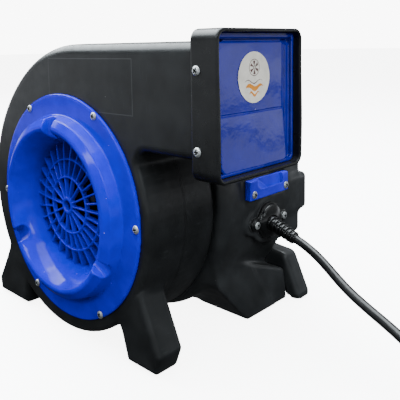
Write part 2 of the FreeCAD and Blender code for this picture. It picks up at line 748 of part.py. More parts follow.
def make_motor_housing():
    drum = round_edges("drum_outside", disc("drum", s.drum_radius, s.drum_front, s.drum_back),
                       s.drum_front_edge, lambda edge: lies_at(edge, "y", s.drum_front))
    drum = round_edges("drum_rounded", drum, s.drum_back_edge,
                       lambda edge: lies_at(edge, "y", s.drum_back))
    bracket_pad = rounded_box("bracket_pad", (130.0, s.bracket_left - 3.0, s.bracket_low - 3.0),
                              (s.pad_face, s.bracket_right + 3.0, s.bracket_top + 3.0), 2.0)
    gland_pad = rounded_box("gland_pad", (130.0, s.gland_y - 40.0, s.gland_z - 26.0),
                            (s.pad_face, s.gland_y + 40.0, s.gland_z + 26.0), 4.0)
    lumps = []
    for side in (1, -1):
        near, far = sorted((100.0 * side, 158.0 * side))
        lumps.append(rounded_box("shoulder", (near, 200.0, -62.0), (far, 271.0, 44.0), 8.0))
    boss = rounded_box("side_boss", (126.8, 236.0, -33.0), (161.0, 284.0, 18.0), 6.0)
    outside = fuse("motor_outside", drum, base_solid("base_outside", s.wall * 0),
                   bracket_pad, gland_pad, boss, *lumps, *rear_arms())
    inside = fuse("motor_inside",
                  disc("drum_inside", s.drum_back_room, s.drum_front + s.wall,
                       s.drum_back - s.wall),
                  disc("drum_room", s.drum_radius - s.wall - 2.0, s.drum_front + s.wall,
                       s.drum_back - s.drum_back_edge),
                  base_solid("base_inside", s.wall))
    front_hole = disc("drum_hole", s.drum_hole, s.drum_front - PAST, s.drum_front + PAST)
    back_hole = disc("cover_hole", s.cover_hole, s.drum_back - PAST, s.drum_back + PAST)
    cover_seat = disc("cover_seat", s.cover_radius + 0.5, s.drum_back, s.leg_end)
    tools = [inside, front_hole, back_hole, cover_seat]
    tools += holes("plate_screw_hole", s.plate_screw_circle, screw_hole, s.drum_front - PAST,
                   s.drum_front + PAST, PLATE_SCREWS)
    tools += holes("cover_screw_hole", s.cover_screw_circle, screw_hole, s.drum_back - PAST,
                   s.drum_back + PAST, COVER_SCREWS)
    tools.append(rod("cord_hole", 9.0, (120.0, s.gland_y - 4.0, s.gland_z + 2.5), 50.0, X_AXIS))
    tools += entry_screw_holes(130.0, 40.0)
    keep("motor_housing", cut("motor_housing", outside, *tools))


def make_rear_cover():
    outside = round_edges("cover_outside",
                          disc("cover_disc", s.cover_radius, s.drum_back + s.slack,
                               s.cover_back),
                          s.cover_edge, lambda edge: lies_at(edge, "y", s.cover_back))
    inside = disc("cover_inside", s.cover_radius - s.wall, s.drum_back - PAST,
                  s.cover_back - s.wall)
    posts = holes("cover_post", s.cover_screw_circle, 9.0, s.drum_back + s.slack,
                  s.cover_back - 2.8, COVER_SCREWS)
    vent_posts = holes("vent_post", s.vent_screw_circle, 4.0, s.cover_back - 8.0,
                       s.cover_back - 2.0, VENT_SCREWS)
    solid = fuse("cover_solid", cut("cover_shell", outside, inside), *posts, *vent_posts)
    tools = holes("cover_screw_hole", s.cover_screw_circle, screw_hole, s.drum_back - PAST,
                  s.cover_back + PAST, COVER_SCREWS)
    tools += holes("vent_screw_hole", s.vent_screw_circle, screw_hole, s.cover_back - 9.0,
                   s.cover_back + PAST, VENT_SCREWS)
    tools.append(disc("vent_hole", s.vent_hole, s.cover_back - PAST, s.cover_back + PAST))
    keep("rear_cover", cut("rear_cover", solid, *tools))
    keep("cover_screws", screws_back("cover_screw", s.cover_screw_circle, s.cover_back,
                                     COVER_SCREWS, 26.0))
    front = s.cover_back + s.slack
    vent = washer("vent_rim", s.vent_radius, s.vent_hole - 4.0, front, front + s.vent_thick)
    bars = []
    for i in range(-5, 6):
        level = i * 10.5
        reach = (s.vent_hole.value ** 2 - level ** 2) ** 0.5 - 1.0
        bars.append(box("louvre", (-reach, front, level - 2.6),
                        (reach, front + s.vent_thick - 1.0, level + 2.6)))
    spine = box("vent_spine", (-3.0, front, -60.0), (3.0, front + s.vent_thick - 1.0, 60.0))
    vent = cut("rear_vent", fuse("vent_solid", vent, spine, *bars),
               *holes("vent_screw_hole", s.vent_screw_circle, screw_hole, front - PAST,
                      front + PAST, VENT_SCREWS))
    keep("rear_vent", vent)
    keep("vent_screws", screws_back("vent_screw", s.vent_screw_circle, front + s.vent_thick,
                                    VENT_SCREWS, 11.0))


def screws_back(name, circle, depth, angles, length):
    """Screws on a circle that are driven in from behind."""
    members = []
    for angle in angles:
        x, z = on_circle(circle, angle)
        members.append(screw(name, (x, depth, z), Vector(0, -1, 0), length))
    return group(name + "s", members)


def make_feet():
    """Rubber pads between the moulded feet and the floor."""
    places = [(-142.0, 22.0), (130.0, 22.0), (-112.0, 212.0), (112.0, 212.0),
              (-150.0, 276.0), (150.0, 276.0)]
    pads = []
    for x, y in places:
        pads.append(rod("foot_pad", s.foot_radius, (x, y, s.floor), s.base_bottom - s.floor,
                        Z_AXIS))
    keep("foot_pads", group("foot_pads", pads))


# -------------------------------------------------------------------- the drive

def make_plate():
    plate = washer("plate", s.plate_radius, s.plate_hole, plate_front, plate_back)
    tools = holes("plate_screw_hole", s.plate_screw_circle, screw_hole, plate_front - PAST,
                  plate_back + PAST, PLATE_SCREWS)
    bolts = holes("bolt_hole", s.bolt_circle, s.bolt_radius + s.slack, plate_front - PAST,
                  plate_back + PAST, BOLTS)
    keep("motor_plate", cut("motor_plate", plate, *tools, *bolts))
    gasket = washer("gasket", s.plate_radius, s.gasket_inner, plate_back + s.slack / 2,
                    s.drum_front - s.slack / 2)
    keep("body_gasket", cut("body_gasket", gasket, *holes(
        "gasket_hole", s.plate_screw_circle, screw_hole, plate_back - PAST,
        s.drum_front + PAST, PLATE_SCREWS)))
    keep("plate_screws", screws_back("plate_screw", s.plate_screw_circle,
                                     s.drum_front + s.wall, PLATE_SCREWS, 12.0))


def make_impeller():
    body = new_body("wheel")
    wheel_front, wheel_back = s.wheel_front, s.wheel_back
    skin = s.wall
    spun(body, [(s.shaft_radius + 0.02, s.hub_front), (s.wheel_hub, s.hub_front),
                (s.wheel_hub, wheel_back - skin), (s.wheel_radius, wheel_back - skin),
                (s.wheel_radius, wheel_back), (s.shaft_radius + 0.02, wheel_back)])
    spun(body, [(s.wheel_eye, wheel_front - 6.0), (s.wheel_eye + skin, wheel_front - 6.0),
                (s.wheel_eye + skin, wheel_front), (s.wheel_radius, wheel_front),
                (s.wheel_radius, wheel_front + skin), (s.wheel_eye, wheel_front + skin)])
    ends = []
    for angle in (70.0, 15.0):
        turn = math.radians(angle)
        for arc in (s.blade_arc, s.blade_arc + s.blade_thick):
            ends.append((s.blade_x + arc * math.cos(turn), s.blade_z + arc * math.sin(turn)))
    blade = [ends[0], Turn(s.blade_x, s.blade_z, False), ends[2], ends[3],
             Turn(s.blade_x, s.blade_z), ends[1]]
    first = pad(body, "XZ_Plane", wheel_front + 1.0, wheel_back - wheel_front - 2.0, blade)
    repeat(body, [first], 12)
    keep("impeller", body)
    stud_bore = s.stud_radius + 0.02
    keep("impeller_washer", washer("hub_washer", 12.0, stud_bore, s.hub_front - 2.1,
                                   s.hub_front - 0.05))
    nut = doc.addObject("Part::Prism", "hub_nut_prism")
    nut.Polygon = 6
    nut.Circumradius = 9.8
    nut.Height = 8.0
    place(nut, (0.0, s.hub_front - 10.2, 0.0), Rotation(Z_AXIS, Y_AXIS))
    keep("impeller_nut", cut("hub_nut", nut, disc("nut_bore", stud_bore, s.hub_front - 20.0,
                                                  s.hub_front)))


def make_rotor():
    back_step = s.rear_bearing + s.bearing_width + 4.0
    shaft = fuse("shaft", disc("stud", s.stud_radius, s.shaft_front, s.hub_front),
                 disc("journal", s.shaft_radius, s.hub_front, back_step),
                 disc("tail", s.stud_radius, back_step, s.shaft_back))
    keep("motor_shaft", shaft)
    keep("rotor_core", washer("rotor", s.stator_bore - s.air_gap, s.shaft_radius + 0.02,
                              s.stator_front, s.stator_back))
    outer, balls, inner = [], [], []
    ball_circle = (s.shaft_radius + s.bearing_radius) / 2
    ball_radius = 2.4
    for start in (s.front_bearing, s.rear_bearing):
        end = start + s.bearing_width
        outer.append(washer("race", s.bearing_radius, ball_circle + 2.5, start, end))
        inner.append(washer("cone", ball_circle - 2.5, s.shaft_radius + 0.02, start, end))
        for angle in spread(9):
            x, z = on_circle(ball_circle, angle)
            ball = doc.addObject("Part::Sphere", "ball")
            ball.Radius = ball_radius
            balls.append(place(ball, (x, (start + end) / 2, z)))
    keep("bearing_outer_rings", group("races", outer))
    keep("bearing_inner_rings", group("cones", inner))
    keep("bearing_balls", group("balls", balls))
    front = back_step + 1.0
    fan_hub = washer("fan_hub", 13.0, s.stud_radius + 0.02, front, front + 16.0)
    web = washer("fan_web", s.cooling_fan_radius, 9.0, front, front + 2.0)
    vanes = []
    for angle in spread(9):
        vane = box("vane", (11.0, front, -0.8), (s.cooling_fan_radius, front + 14.0, 0.8))
        vane.Placement = Placement(Vector(), Rotation(Y_AXIS, angle)).multiply(vane.Placement)
        for axis in "xyz":
            vane.setExpression(f"Placement.Base.{axis}", None)
        vanes.append(vane)
    keep("cooling_fan", fuse("cooling_fan", fan_hub, web, *vanes))


def lugs(name, front, back):
    return holes(name, s.bolt_circle, 6.0, front, back, BOLTS)


def make_motor():
    bolt_hole = s.bolt_radius + s.slack
    front = plate_back + 0.05
    seat = s.bearing_radius + 0.02
    lip = 4.0
    shield = fuse("front_shield_solid", disc("front_shield_disc", s.shell_radius, front,
                                             s.shell_front - s.slack),
                  *lugs("front_lug", front, s.shell_front - s.slack))
    keep("front_end_shield", cut(
        "front_end_shield", shield,
        disc("front_seat", seat, s.front_bearing, s.shell_front + PAST),
        disc("front_pass", s.bearing_radius - lip, front - PAST, s.front_bearing + 1.0),
        *holes("bolt_hole", s.bolt_circle, bolt_hole, front - PAST, s.shell_front + PAST,
               BOLTS)))
    shield = fuse("rear_shield_solid", disc("rear_shield_disc", s.shell_radius,
                                            s.shell_back + s.slack, s.shield_back),
                  *lugs("rear_lug", s.shell_back + s.slack, s.shield_back))
    keep("rear_end_shield", cut(
        "rear_end_shield", shield,
        disc("rear_seat", seat, s.shell_back - PAST, s.rear_bearing + s.bearing_width),
        disc("rear_pass", s.bearing_radius - lip, s.shell_back, s.shield_back + PAST),
        *holes("bolt_hole", s.bolt_circle, bolt_hole, s.shell_back - PAST,
               s.shield_back + PAST, BOLTS)))
    keep("motor_shell", washer("motor_shell", s.shell_radius, s.shell_radius - s.wall,
                               s.shell_front, s.shell_back))
    core = washer("stator_ring", s.shell_radius - s.wall - 0.02, s.stator_bore, s.stator_front,
                  s.stator_back)
    slots = holes("slot", s.stator_bore + 10.0, 3.6, s.stator_front - PAST,
                  s.stator_back + PAST, spread(24))
    keep("stator_core", cut("stator_core", core, *slots))
    coils = []
    for start, end in ((s.stator_front - 14.0, s.stator_front - 0.1),
                       (s.stator_back + 0.1, s.stator_back + 14.0)):
        ring = washer("coil", s.stator_bore + 19.0, s.stator_bore + 3.0, start, end)
        coils.append(round_edges("coil_rounded", ring, 4.0, lambda edge: edge.Length > 20))
    keep("stator_windings", group("stator_windings", coils))
    bolts, nuts = [], []
    bolt_front = plate_front - 0.05
    nut_front = s.shield_back + 0.05
    for angle in BOLTS:
        x, z = on_circle(s.bolt_circle, angle)
        head = rod("bolt_head", 5.0, (x, bolt_front - 3.5, z), 3.5)
        shank = rod("bolt_shank", s.bolt_radius, (x, bolt_front - 1.0, z),
                    nut_front + 7.0 - bolt_front + 1.0)
        bolts.append(fuse("through_bolt", head, shank))
        nut = doc.addObject("Part::Prism", "bolt_nut_prism")
        nut.Polygon = 6
        nut.Circumradius = 5.0
        nut.Height = 4.0
        place(nut, (x, nut_front, z), Rotation(Z_AXIS, Y_AXIS))
        nuts.append(cut("bolt_nut", nut, rod("bolt_nut_bore", s.bolt_radius + 0.02,
                                             (x, nut_front - 1.0, z), 10.0)))
    keep("through_bolts", group("through_bolts", bolts))
    keep("bolt_nuts", group("bolt_nuts", nuts))


def make_electrics():
    x, z = s.capacitor_x, s.capacitor_z
    start = plate_back + 10.0
    can = round_edges("capacitor_can", rod("can", s.capacitor_radius, (x, start, z), 66.0), 2.0,
                      lambda edge: edge.Length > 50)
    tabs = [box("tab", (x + shift - 3.0, start + 65.0, z - 0.5),
                (x + shift + 3.0, start + 76.0, z + 0.5)) for shift in (-7.0, 7.0)]
    keep("capacitor", fuse("capacitor", can, *tabs))
    band = cut("band", rod("band_outer", s.capacitor_radius + 1.4, (x, start + 12.0, z), 16.0),
               rod("band_bore", s.capacitor_radius + 0.03, (x, start, z), 60.0))
    arm = box("band_arm", (x - 8.0, plate_back + 0.05, z + s.capacitor_radius + 0.4),
              (x + 8.0, start + 28.0, z + s.capacitor_radius + 1.9))
    keep("capacitor_clip", fuse("capacitor_clip", band, arm))
    far = (value_of(s.boot_y) + 2.0, value_of(s.boot_z) + 8.0)
    block_near, block_far = 86.0, 104.0
    block = box("block", (block_near, far[0] - 16.0, far[1] - 12.0),
                (block_far, far[0] + 16.0, far[1] + 12.0))
    shelf = box("block_rail", (block_near + 2.0, plate_back + 0.05, far[1] - 16.0),
                (block_far - 2.0, far[0] + 18.0, far[1] - 12.05))
    keep("terminal_block", block)
    keep("terminal_rail", shelf)
    lead = doc.addObject("Part::Feature", "motor_lead")
    path = Part.BSplineCurve()
    path.interpolate(Points=[Vector(block_near - 0.2, far[0], far[1]),
                             Vector(78.0, far[0] - 3.0, far[1] + 3.0),
                             Vector(70.0, far[0] - 14.0, far[1] + 8.0)],
                     InitialTangent=Vector(-9, 0, 0), FinalTangent=Vector(-3, -8, 2))
    wire = Part.Wire(path.toShape())
    ring = Part.Wire(Part.makeCircle(2.2, path.value(0), path.tangent(0)[0]))
    lead.Shape = wire.makePipeShell([ring], True, True)
    keep("motor_lead", lead)


# --------------------------------------------------- strap bracket and cord entry

def entry_screw_holes(start, length):
    """Holes along X for the screws of the strap bracket and the cord gland."""
    tools = []
    for y, z in bracket_screws() + gland_screws():
        tools.append(rod("entry_screw_hole", screw_hole, (start, y, z), length, X_AXIS))
    return tools


def bracket_screws():
    return [(s.bracket_left + 7.5, s.bracket_low + 7.0),
            (s.bracket_right - 6.0, s.bracket_low + 7.0)]


def gland_screws():
    half = s.gland_screw_gap / 2
    return [(s.gland_y - half, s.gland_z), (s.gland_y + half, s.gland_z)]


def make_bracket():
    """Open-topped pocket between two ears, for tucking in a tie-down strap."""
    body = new_body("bracket_block")
    pad(body, "YZ_Plane", s.pad_face, s.bracket_front - s.pad_face, [
        (s.bracket_left, s.bracket_low), (s.bracket_right, s.bracket_low),
        (s.bracket_right, s.bracket_top), (s.bracket_left, s.bracket_top)])
    soften(body, 2.5, lambda edge: runs_along(edge, "x") or lies_at(edge, "x",
                                                                    s.bracket_front))
    left, right = s.bracket_left + 15.0, s.bracket_right - 11.0
    pocket(body, "XZ_Plane", left, right - left, [
        (s.pad_face + 2.5, s.bracket_top + PAST), (s.pad_face + 2.5, s.bracket_low + 9.0),
        (s.bracket_front - 3.0, s.bracket_low + 14.0), (s.bracket_front + PAST,
                                                       s.bracket_low + 16.0),
        (s.bracket_front + PAST, s.bracket_top + PAST)])
    tools = [rod("bracket_hole", screw_hole, (150.0, y, z), 40.0, X_AXIS)
             for y, z in bracket_screws()]
    keep("strap_bracket", cut("strap_bracket", body, *tools))
    keep("bracket_screws", group("bracket_screws", [
        screw("bracket_screw", (s.bracket_front, y, z), Vector(-1, 0, 0), 18.0)
        for y, z in bracket_screws()]))


def gland_plate(name, start, end, grow=0.0):
    """Two-lobed oval plate: a round middle with a lobe round each screw."""
    middle = rod(name + "_middle", s.dome_radius + grow, (start, s.gland_y, s.gland_z),
                 end - start, X_AXIS)
    ends = [rod(name + "_lobe", s.gland_lobe + grow, (start, y, z), end - start, X_AXIS)
            for y, z in gland_screws()]
    half = s.gland_screw_gap / 2
    web = box(name + "_web", (start, s.gland_y - half, s.gland_z - s.gland_lobe - grow),
              (end, s.gland_y + half, s.gland_z + s.gland_lobe + grow))
    return fuse(name, middle, web, *ends)


def make_gland():
    seat = s.pad_face + 1.2
    ball = doc.addObject("Part::Sphere", "dome_ball")
    dome_ball = (s.dome_radius * s.dome_radius + s.dome_rise * s.dome_rise) / (s.dome_rise * 2)
    bind(ball, "Radius", dome_ball)
    place(ball, (s.gland_face + s.dome_rise - dome_ball, s.gland_y, s.gland_z))
    front = rod("dome_room", s.dome_radius, (s.gland_face - 1.0, s.gland_y, s.gland_z), 30.0,
                X_AXIS)
    dome = common("dome", ball, front)
    bore = rod("gland_bore", s.cord_radius + s.slack, along_boot(-30.0), 60.0, BOOT_DIRECTION)
    socket = rod("gland_socket", 9.0 + s.slack, along_boot(2.0), 40.0, BOOT_DIRECTION)
    screw_ways = [rod("gland_hole", screw_hole, (150.0, y, z), 40.0, X_AXIS)
                  for y, z in gland_screws()]
    plate = fuse("gland_solid", gland_plate("gland_plate", seat, s.gland_face), dome)
    keep("cord_gland", cut("cord_gland", plate, bore, socket, *screw_ways))
    gasket_holes = [rod("gasket_hole", screw_hole, (150.0, y, z), 40.0, X_AXIS)
                    for y, z in gland_screws()]
    keep("gland_gasket", cut(
        "gland_gasket", gland_plate("gasket_plate", s.pad_face, seat - 0.02, 0.8),
        rod("gasket_bore", 9.0, (150.0, s.gland_y - 4.0, s.gland_z + 2.5), 20.0, X_AXIS),
        *gasket_holes))
    keep("gland_screws", group("gland_screws", [
        screw("gland_screw", (s.gland_face, y, z), Vector(-1, 0, 0), 12.0)
        for y, z in gland_screws()]))


def make_boot():
    """Ribbed strain relief, a tapered sleeve on the cord."""
    start = 2.1
    sleeve = taper("sleeve", 7.4, 6.5, along_boot(start), s.boot_length - start, BOOT_DIRECTION)
    root = rod("sleeve_root", 9.0, along_boot(start), 7.0, BOOT_DIRECTION)
    ribs = []
    for i in range(6):
        ribs.append(rod("rib", 8.6 - 0.3 * i, along_boot(15.0 + 5.4 * i), 3.2,
                        BOOT_DIRECTION))
    bore = rod("sleeve_bore", s.cord_radius + s.slack, along_boot(-PAST), 80.0, BOOT_DIRECTION)
    keep("strain_relief", cut("strain_relief", fuse("boot_solid", sleeve, root, *ribs), bore))


PLUG_START = Vector(474, 116, -147)
PLUG_DIRECTION = Vector(0.97, -0.24, 0).normalize()


def make_cord():
    """Cord from the terminal block, straight through its entry, then down to the floor."""
    inner = Vector(*[value_of(v) for v in along_boot(-26.0)])
    outer = Vector(*[value_of(v) for v in along_boot(50.0)])
    bends = [Vector(246, 178, -56), Vector(281, 168, -74), Vector(315, 161, -88),
             Vector(348, 152.5, -99), Vector(388, 142, -118), Vector(430, 129, -138)]
    path = Part.BSplineCurve()
    path.interpolate(Points=[outer] + bends + [PLUG_START],
                     InitialTangent=BOOT_DIRECTION * 60, FinalTangent=PLUG_DIRECTION * 60)
    straight = Part.LineSegment(inner, outer).toShape()
    wire = Part.Wire([straight, path.toShape()])
    ring = Part.Wire(Part.makeCircle(value_of(s.cord_radius), inner, BOOT_DIRECTION))
    cord = doc.addObject("Part::Feature", "power_cord")
    cord.Shape = wire.makePipeShell([ring], True, False)
    keep("power_cord", cord)
    gap = PLUG_DIRECTION * 0.1
    neck = taper("plug_neck", 7.2, 9.0, tuple(PLUG_START + gap), 16.0, PLUG_DIRECTION)
    grip = taper("plug_grip", 9.0, 13.0, tuple(PLUG_START + PLUG_DIRECTION * 16), 24.0,
                 PLUG_DIRECTION)
    face = rod("plug_face", 13.0, tuple(PLUG_START + PLUG_DIRECTION * 39.5), 5.0,
               PLUG_DIRECTION)
    plug = fuse("plug_solid", neck, grip, face)
    side = PLUG_DIRECTION.cross(Z_AXIS)
    tip = PLUG_START + PLUG_DIRECTION * 44.5
    blades = []
    for shift in (-6.3, 6.3):
        blade = box("plug_blade", (0.1, -0.75, -3.2), (18.0, 0.75, 3.2))
        turn = Rotation(X_AXIS, PLUG_DIRECTION)
        blade.Placement = Placement(tip + side * shift + PLUG_DIRECTION * 0.1 +
                                    Z_AXIS * 1.0 + turn.multVec(Vector(0, -0.75, -3.2)), turn)
        blades.append(blade)
    earth = rod("plug_earth", 2.4, tuple(tip + PLUG_DIRECTION * 0.1 - Z_AXIS * 7.5), 20.0,
                PLUG_DIRECTION)
    keep("plug_body", plug)
    keep("plug_pins", group("plug_pins", blades + [earth]))


# ------------------------------------------------------------------------ output

def check_and_write():
    doc.recompute()
    for thing in doc.Objects:
        bad = [state for state in thing.State if state in ("Invalid", "Error")]
        if bad:
            raise RuntimeError(f"{thing.Name} ({thing.Label}) is {bad}")
    os.makedirs("parts", exist_ok=True)
    for thing in pieces:
        shape = thing.Shape
        if shape.isNull() or not shape.isValid() or not shape.Solids:
            raise RuntimeError(f"{thing.Label} has no valid solid")
        shape.exportStep(f"parts/{thing.Label}.step")


make_scroll_housing()
make_intake_ring()
make_collar()
make_flap_frame()
make_flap()
make_motor_housing()
make_rear_cover()
make_feet()
make_plate()
make_impeller()
make_rotor()
make_motor()
make_electrics()
make_bracket()
make_gland()
make_boot()
make_cord()
check_and_write()
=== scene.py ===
"""Looks of the centrifugal air mover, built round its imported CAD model.

Row frame: the fan axis is Y, the outlet points to +X and Z is up. The shape fields work in
millimetres, and each mesh is turned into metres when it is made.
"""

import math

import bpy
import numpy as np
from mathutils import Matrix, Vector


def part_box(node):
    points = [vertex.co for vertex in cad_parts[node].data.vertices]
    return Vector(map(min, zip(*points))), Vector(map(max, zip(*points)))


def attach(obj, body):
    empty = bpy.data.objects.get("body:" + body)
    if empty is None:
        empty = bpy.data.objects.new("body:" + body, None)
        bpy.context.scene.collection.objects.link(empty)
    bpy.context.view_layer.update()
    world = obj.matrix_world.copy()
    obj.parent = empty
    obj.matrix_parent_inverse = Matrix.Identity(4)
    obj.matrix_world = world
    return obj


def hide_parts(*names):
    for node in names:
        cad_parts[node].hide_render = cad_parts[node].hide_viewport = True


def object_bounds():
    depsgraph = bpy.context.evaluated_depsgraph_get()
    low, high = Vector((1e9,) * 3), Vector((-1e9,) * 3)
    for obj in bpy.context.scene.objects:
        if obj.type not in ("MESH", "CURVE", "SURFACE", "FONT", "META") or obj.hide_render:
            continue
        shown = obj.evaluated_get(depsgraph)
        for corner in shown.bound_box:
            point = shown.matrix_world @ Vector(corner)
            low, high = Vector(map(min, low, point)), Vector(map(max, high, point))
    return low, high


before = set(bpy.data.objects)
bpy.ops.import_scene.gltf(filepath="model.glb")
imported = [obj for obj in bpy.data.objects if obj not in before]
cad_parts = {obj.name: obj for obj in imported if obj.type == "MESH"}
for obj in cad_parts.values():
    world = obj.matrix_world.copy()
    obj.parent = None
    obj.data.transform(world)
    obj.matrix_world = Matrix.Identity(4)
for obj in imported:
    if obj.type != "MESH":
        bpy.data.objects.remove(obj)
cad_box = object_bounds()
MM = 0.001
FLOOR = cad_box[0].z


# ------------------------------------------------------------- distance fields
# A field is negative inside its solid. Its value is close to a distance in mm.

def ramp(value, start, end):
    """0 before start, 1 after end, smooth in between."""
    t = np.clip((value - start) / (end - start), 0.0, 1.0)
    return t * t * (3.0 - 2.0 * t)


def join(a, b, blend=0.01):
    """Union with a fillet of about the blend's size."""
    h = np.clip(0.5 + 0.5 * (b - a) / blend, 0.0, 1.0)
    return b + (a - b) * h - blend * h * (1.0 - h)


def trim(a, b, blend=0.01):
    """The part of a that lies inside b, with its new edge eased."""
    return -join(-a, -b, blend)


def carve(a, b, blend=0.01):
    """a with b taken away."""
    return trim(a, -b, blend)


def rounded(radius, *fields):
    """Common volume of the fields, with its outside edges rounded to the radius."""
    total = 0.0
    deepest = -1e9
    for one in fields:
        lifted = one + radius
        total = total + np.maximum(lifted, 0.0) ** 2
        deepest = np.maximum(deepest, lifted)
    return np.sqrt(total) + np.minimum(deepest, 0.0) - radius


def between(value, low, high):
    """Slab from low to high."""
    return np.abs(value - (low + high) / 2.0) - (high - low) / 2.0


def block(x, y, z, low, high, radius):
    """Box with rounded edges."""
    return rounded(radius, between(x, low[0], high[0]), between(y, low[1], high[1]),
                   between(z, low[2], high[2]))


def arc(centre, radius, start, end, count=24):
    """Points on an arc, from one angle to the other in degrees."""
    turns = np.radians(np.linspace(start, end, count))
    return [(centre[0] + radius * math.cos(t), centre[1] + radius * math.sin(t))
            for t in turns]


def outline(u, v, corners):
    """Signed distance to a closed outline."""
    nearest = 1e12
    inside = False
    for (ax, ay), (bx, by) in zip(corners, corners[1:] + corners[:1]):
        ex, ey = bx - ax, by - ay
        long = ex * ex + ey * ey
        if long < 1e-9:
            continue
        t = np.clip(((u - ax) * ex + (v - ay) * ey) / long, 0.0, 1.0)
        nearest = np.minimum(nearest, (u - ax - t * ex) ** 2 + (v - ay - t * ey) ** 2)
        if ay != by:
            crosses = (ay > v) != (by > v)
            inside = inside ^ (crosses & (u < ex * (v - ay) / ey + ax))
    return np.where(inside, -1.0, 1.0) * np.sqrt(nearest)


def around(x, z):
    return np.sqrt(x * x + z * z)


def along_line(x, y, z, start, direction):
    """Distance along a line from its start, and away from it."""
    dx, dy, dz = x - start[0], y - start[1], z - start[2]
    run = dx * direction[0] + dy * direction[1] + dz * direction[2]
    return run, np.sqrt(np.maximum(dx * dx + dy * dy + dz * dz - run * run, 0.0))


def slope(field, points, reach):
    """Gradient of a field at points."""
    parts = []
    for axis in range(3):
        shift = np.zeros(3)
        shift[axis] = reach
        ahead = field(*(points + shift).T)
        behind = field(*(points - shift).T)
        parts.append((ahead - behind) / (2.0 * reach))
    return np.stack(parts, 1)


def surface_net(values):
    """Vertices in cell units, and quads, of the zero level of a sampled field."""
    solid = values < 0
    size = np.array(values.shape) - 1
    corner_count = np.zeros(size, np.int8)
    for i in (0, 1):
        for j in (0, 1):
            for k in (0, 1):
                corner_count += solid[i:size[0] + i, j:size[1] + j, k:size[2] + k]
    crossed = (corner_count > 0) & (corner_count < 8)
    cells = np.argwhere(crossed)
    number = np.full(size, -1, np.int32)
    number[crossed] = np.arange(len(cells))
    total = np.zeros((len(cells), 3))
    hits = np.zeros(len(cells))
    for axis in range(3):
        others = [a for a in range(3) if a != axis]
        for i in (0, 1):
            for j in (0, 1):
                near = np.zeros(3, int)
                near[others[0]], near[others[1]] = i, j
                far = near.copy()
                far[axis] = 1
                a = values[tuple((cells + near).T)]
                b = values[tuple((cells + far).T)]
                cut = (a < 0) != (b < 0)
                share = a[cut] / (a[cut] - b[cut])
                total[cut] += near + share[:, None] * (far - near)
                hits[cut] += 1
    vertices = cells + total / hits[:, None]
    quads = []
    for axis in range(3):
        u, v = [a for a in range(3) if a != axis]
        low = [slice(1, size[a]) for a in range(3)]
        high = list(low)
        low[axis] = slice(0, size[axis])
        high[axis] = slice(1, size[axis] + 1)
        first, second = solid[tuple(low)], solid[tuple(high)]
        at = np.argwhere(first != second)
        flip = first[tuple(at.T)]
        start = np.zeros(3, int)
        start[u] = start[v] = 1
        at = at + start
        ring = []
        for i, j in ((1, 1), (0, 1), (0, 0), (1, 0)):
            step = np.zeros(3, int)
            step[u], step[v] = i, j
            ring.append(number[tuple((at - step).T)])
        quad = np.stack(ring, 1)
        if axis == 1:
            flip = ~flip
        quad[~flip] = quad[~flip][:, ::-1]
        quads.append(quad)
    return vertices, np.concatenate(quads)


def mesh_from(name, points, faces):
    """Smooth-shaded mesh in metres, from points in mm and faces of equal size."""
    mesh = bpy.data.meshes.new(name)
    mesh.vertices.add(len(points))
    mesh.vertices.foreach_set("co", (points * MM).astype(np.float32).ravel())
    corners = faces.shape[1]
    mesh.loops.add(len(faces) * corners)
    mesh.loops.foreach_set("vertex_index", faces.astype(np.int32).ravel())
    mesh.polygons.add(len(faces))
    mesh.polygons.foreach_set("loop_start", np.arange(0, len(faces) * corners, corners))
    mesh.polygons.foreach_set("use_smooth", np.ones(len(faces), bool))
    mesh.update(calc_edges=True)
    mesh.validate()
    return mesh


def field_surface(field, low, high, step):
    """Points and quads of a field's surface, with each point drawn onto the surface."""
    low = np.array(low, float) - step * 2.5
    axes = [np.arange(low[i], high[i] + step * 2.5, step) for i in range(3)]
    grid = np.meshgrid(*axes, indexing="ij", sparse=True)
    shape = tuple(len(a) for a in axes)
    values = np.ascontiguousarray(np.broadcast_to(field(*grid), shape), np.float32)
    cells, quads = surface_net(values)
    points = low + cells * step
    for _ in range(3):
        value = field(*points.T)
        lean = slope(field, points, 0.2)
        steep = np.maximum((lean ** 2).sum(1), 0.25)
        move = -(value / steep)[:, None] * lean
        size = np.sqrt((move ** 2).sum(1))
        limit = step * 0.6
        points = points + move * np.minimum(1.0, limit / np.maximum(size, 1e-9))[:, None]
    return points, quads


def piece(name, mesh, material, body, slot, *nodes):
    """Puts a mesh in the scene as a piece of the object."""
    obj = bpy.data.objects.new(name, mesh)
    bpy.context.scene.collection.objects.link(obj)
    mesh.materials.append(material)
    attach(obj, body)
    if nodes:
        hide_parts(*nodes)
    return obj


def field_piece(name, field, low, high, step, material, body, slot, *nodes):
    """Makes a piece from a field sampled between two corners at a step, all in mm."""
    points, quads = field_surface(field, low, high, step)
    return piece(name, mesh_from(name, points, quads), material, body, slot, *nodes)


# -------------------------------------------------------------------- materials

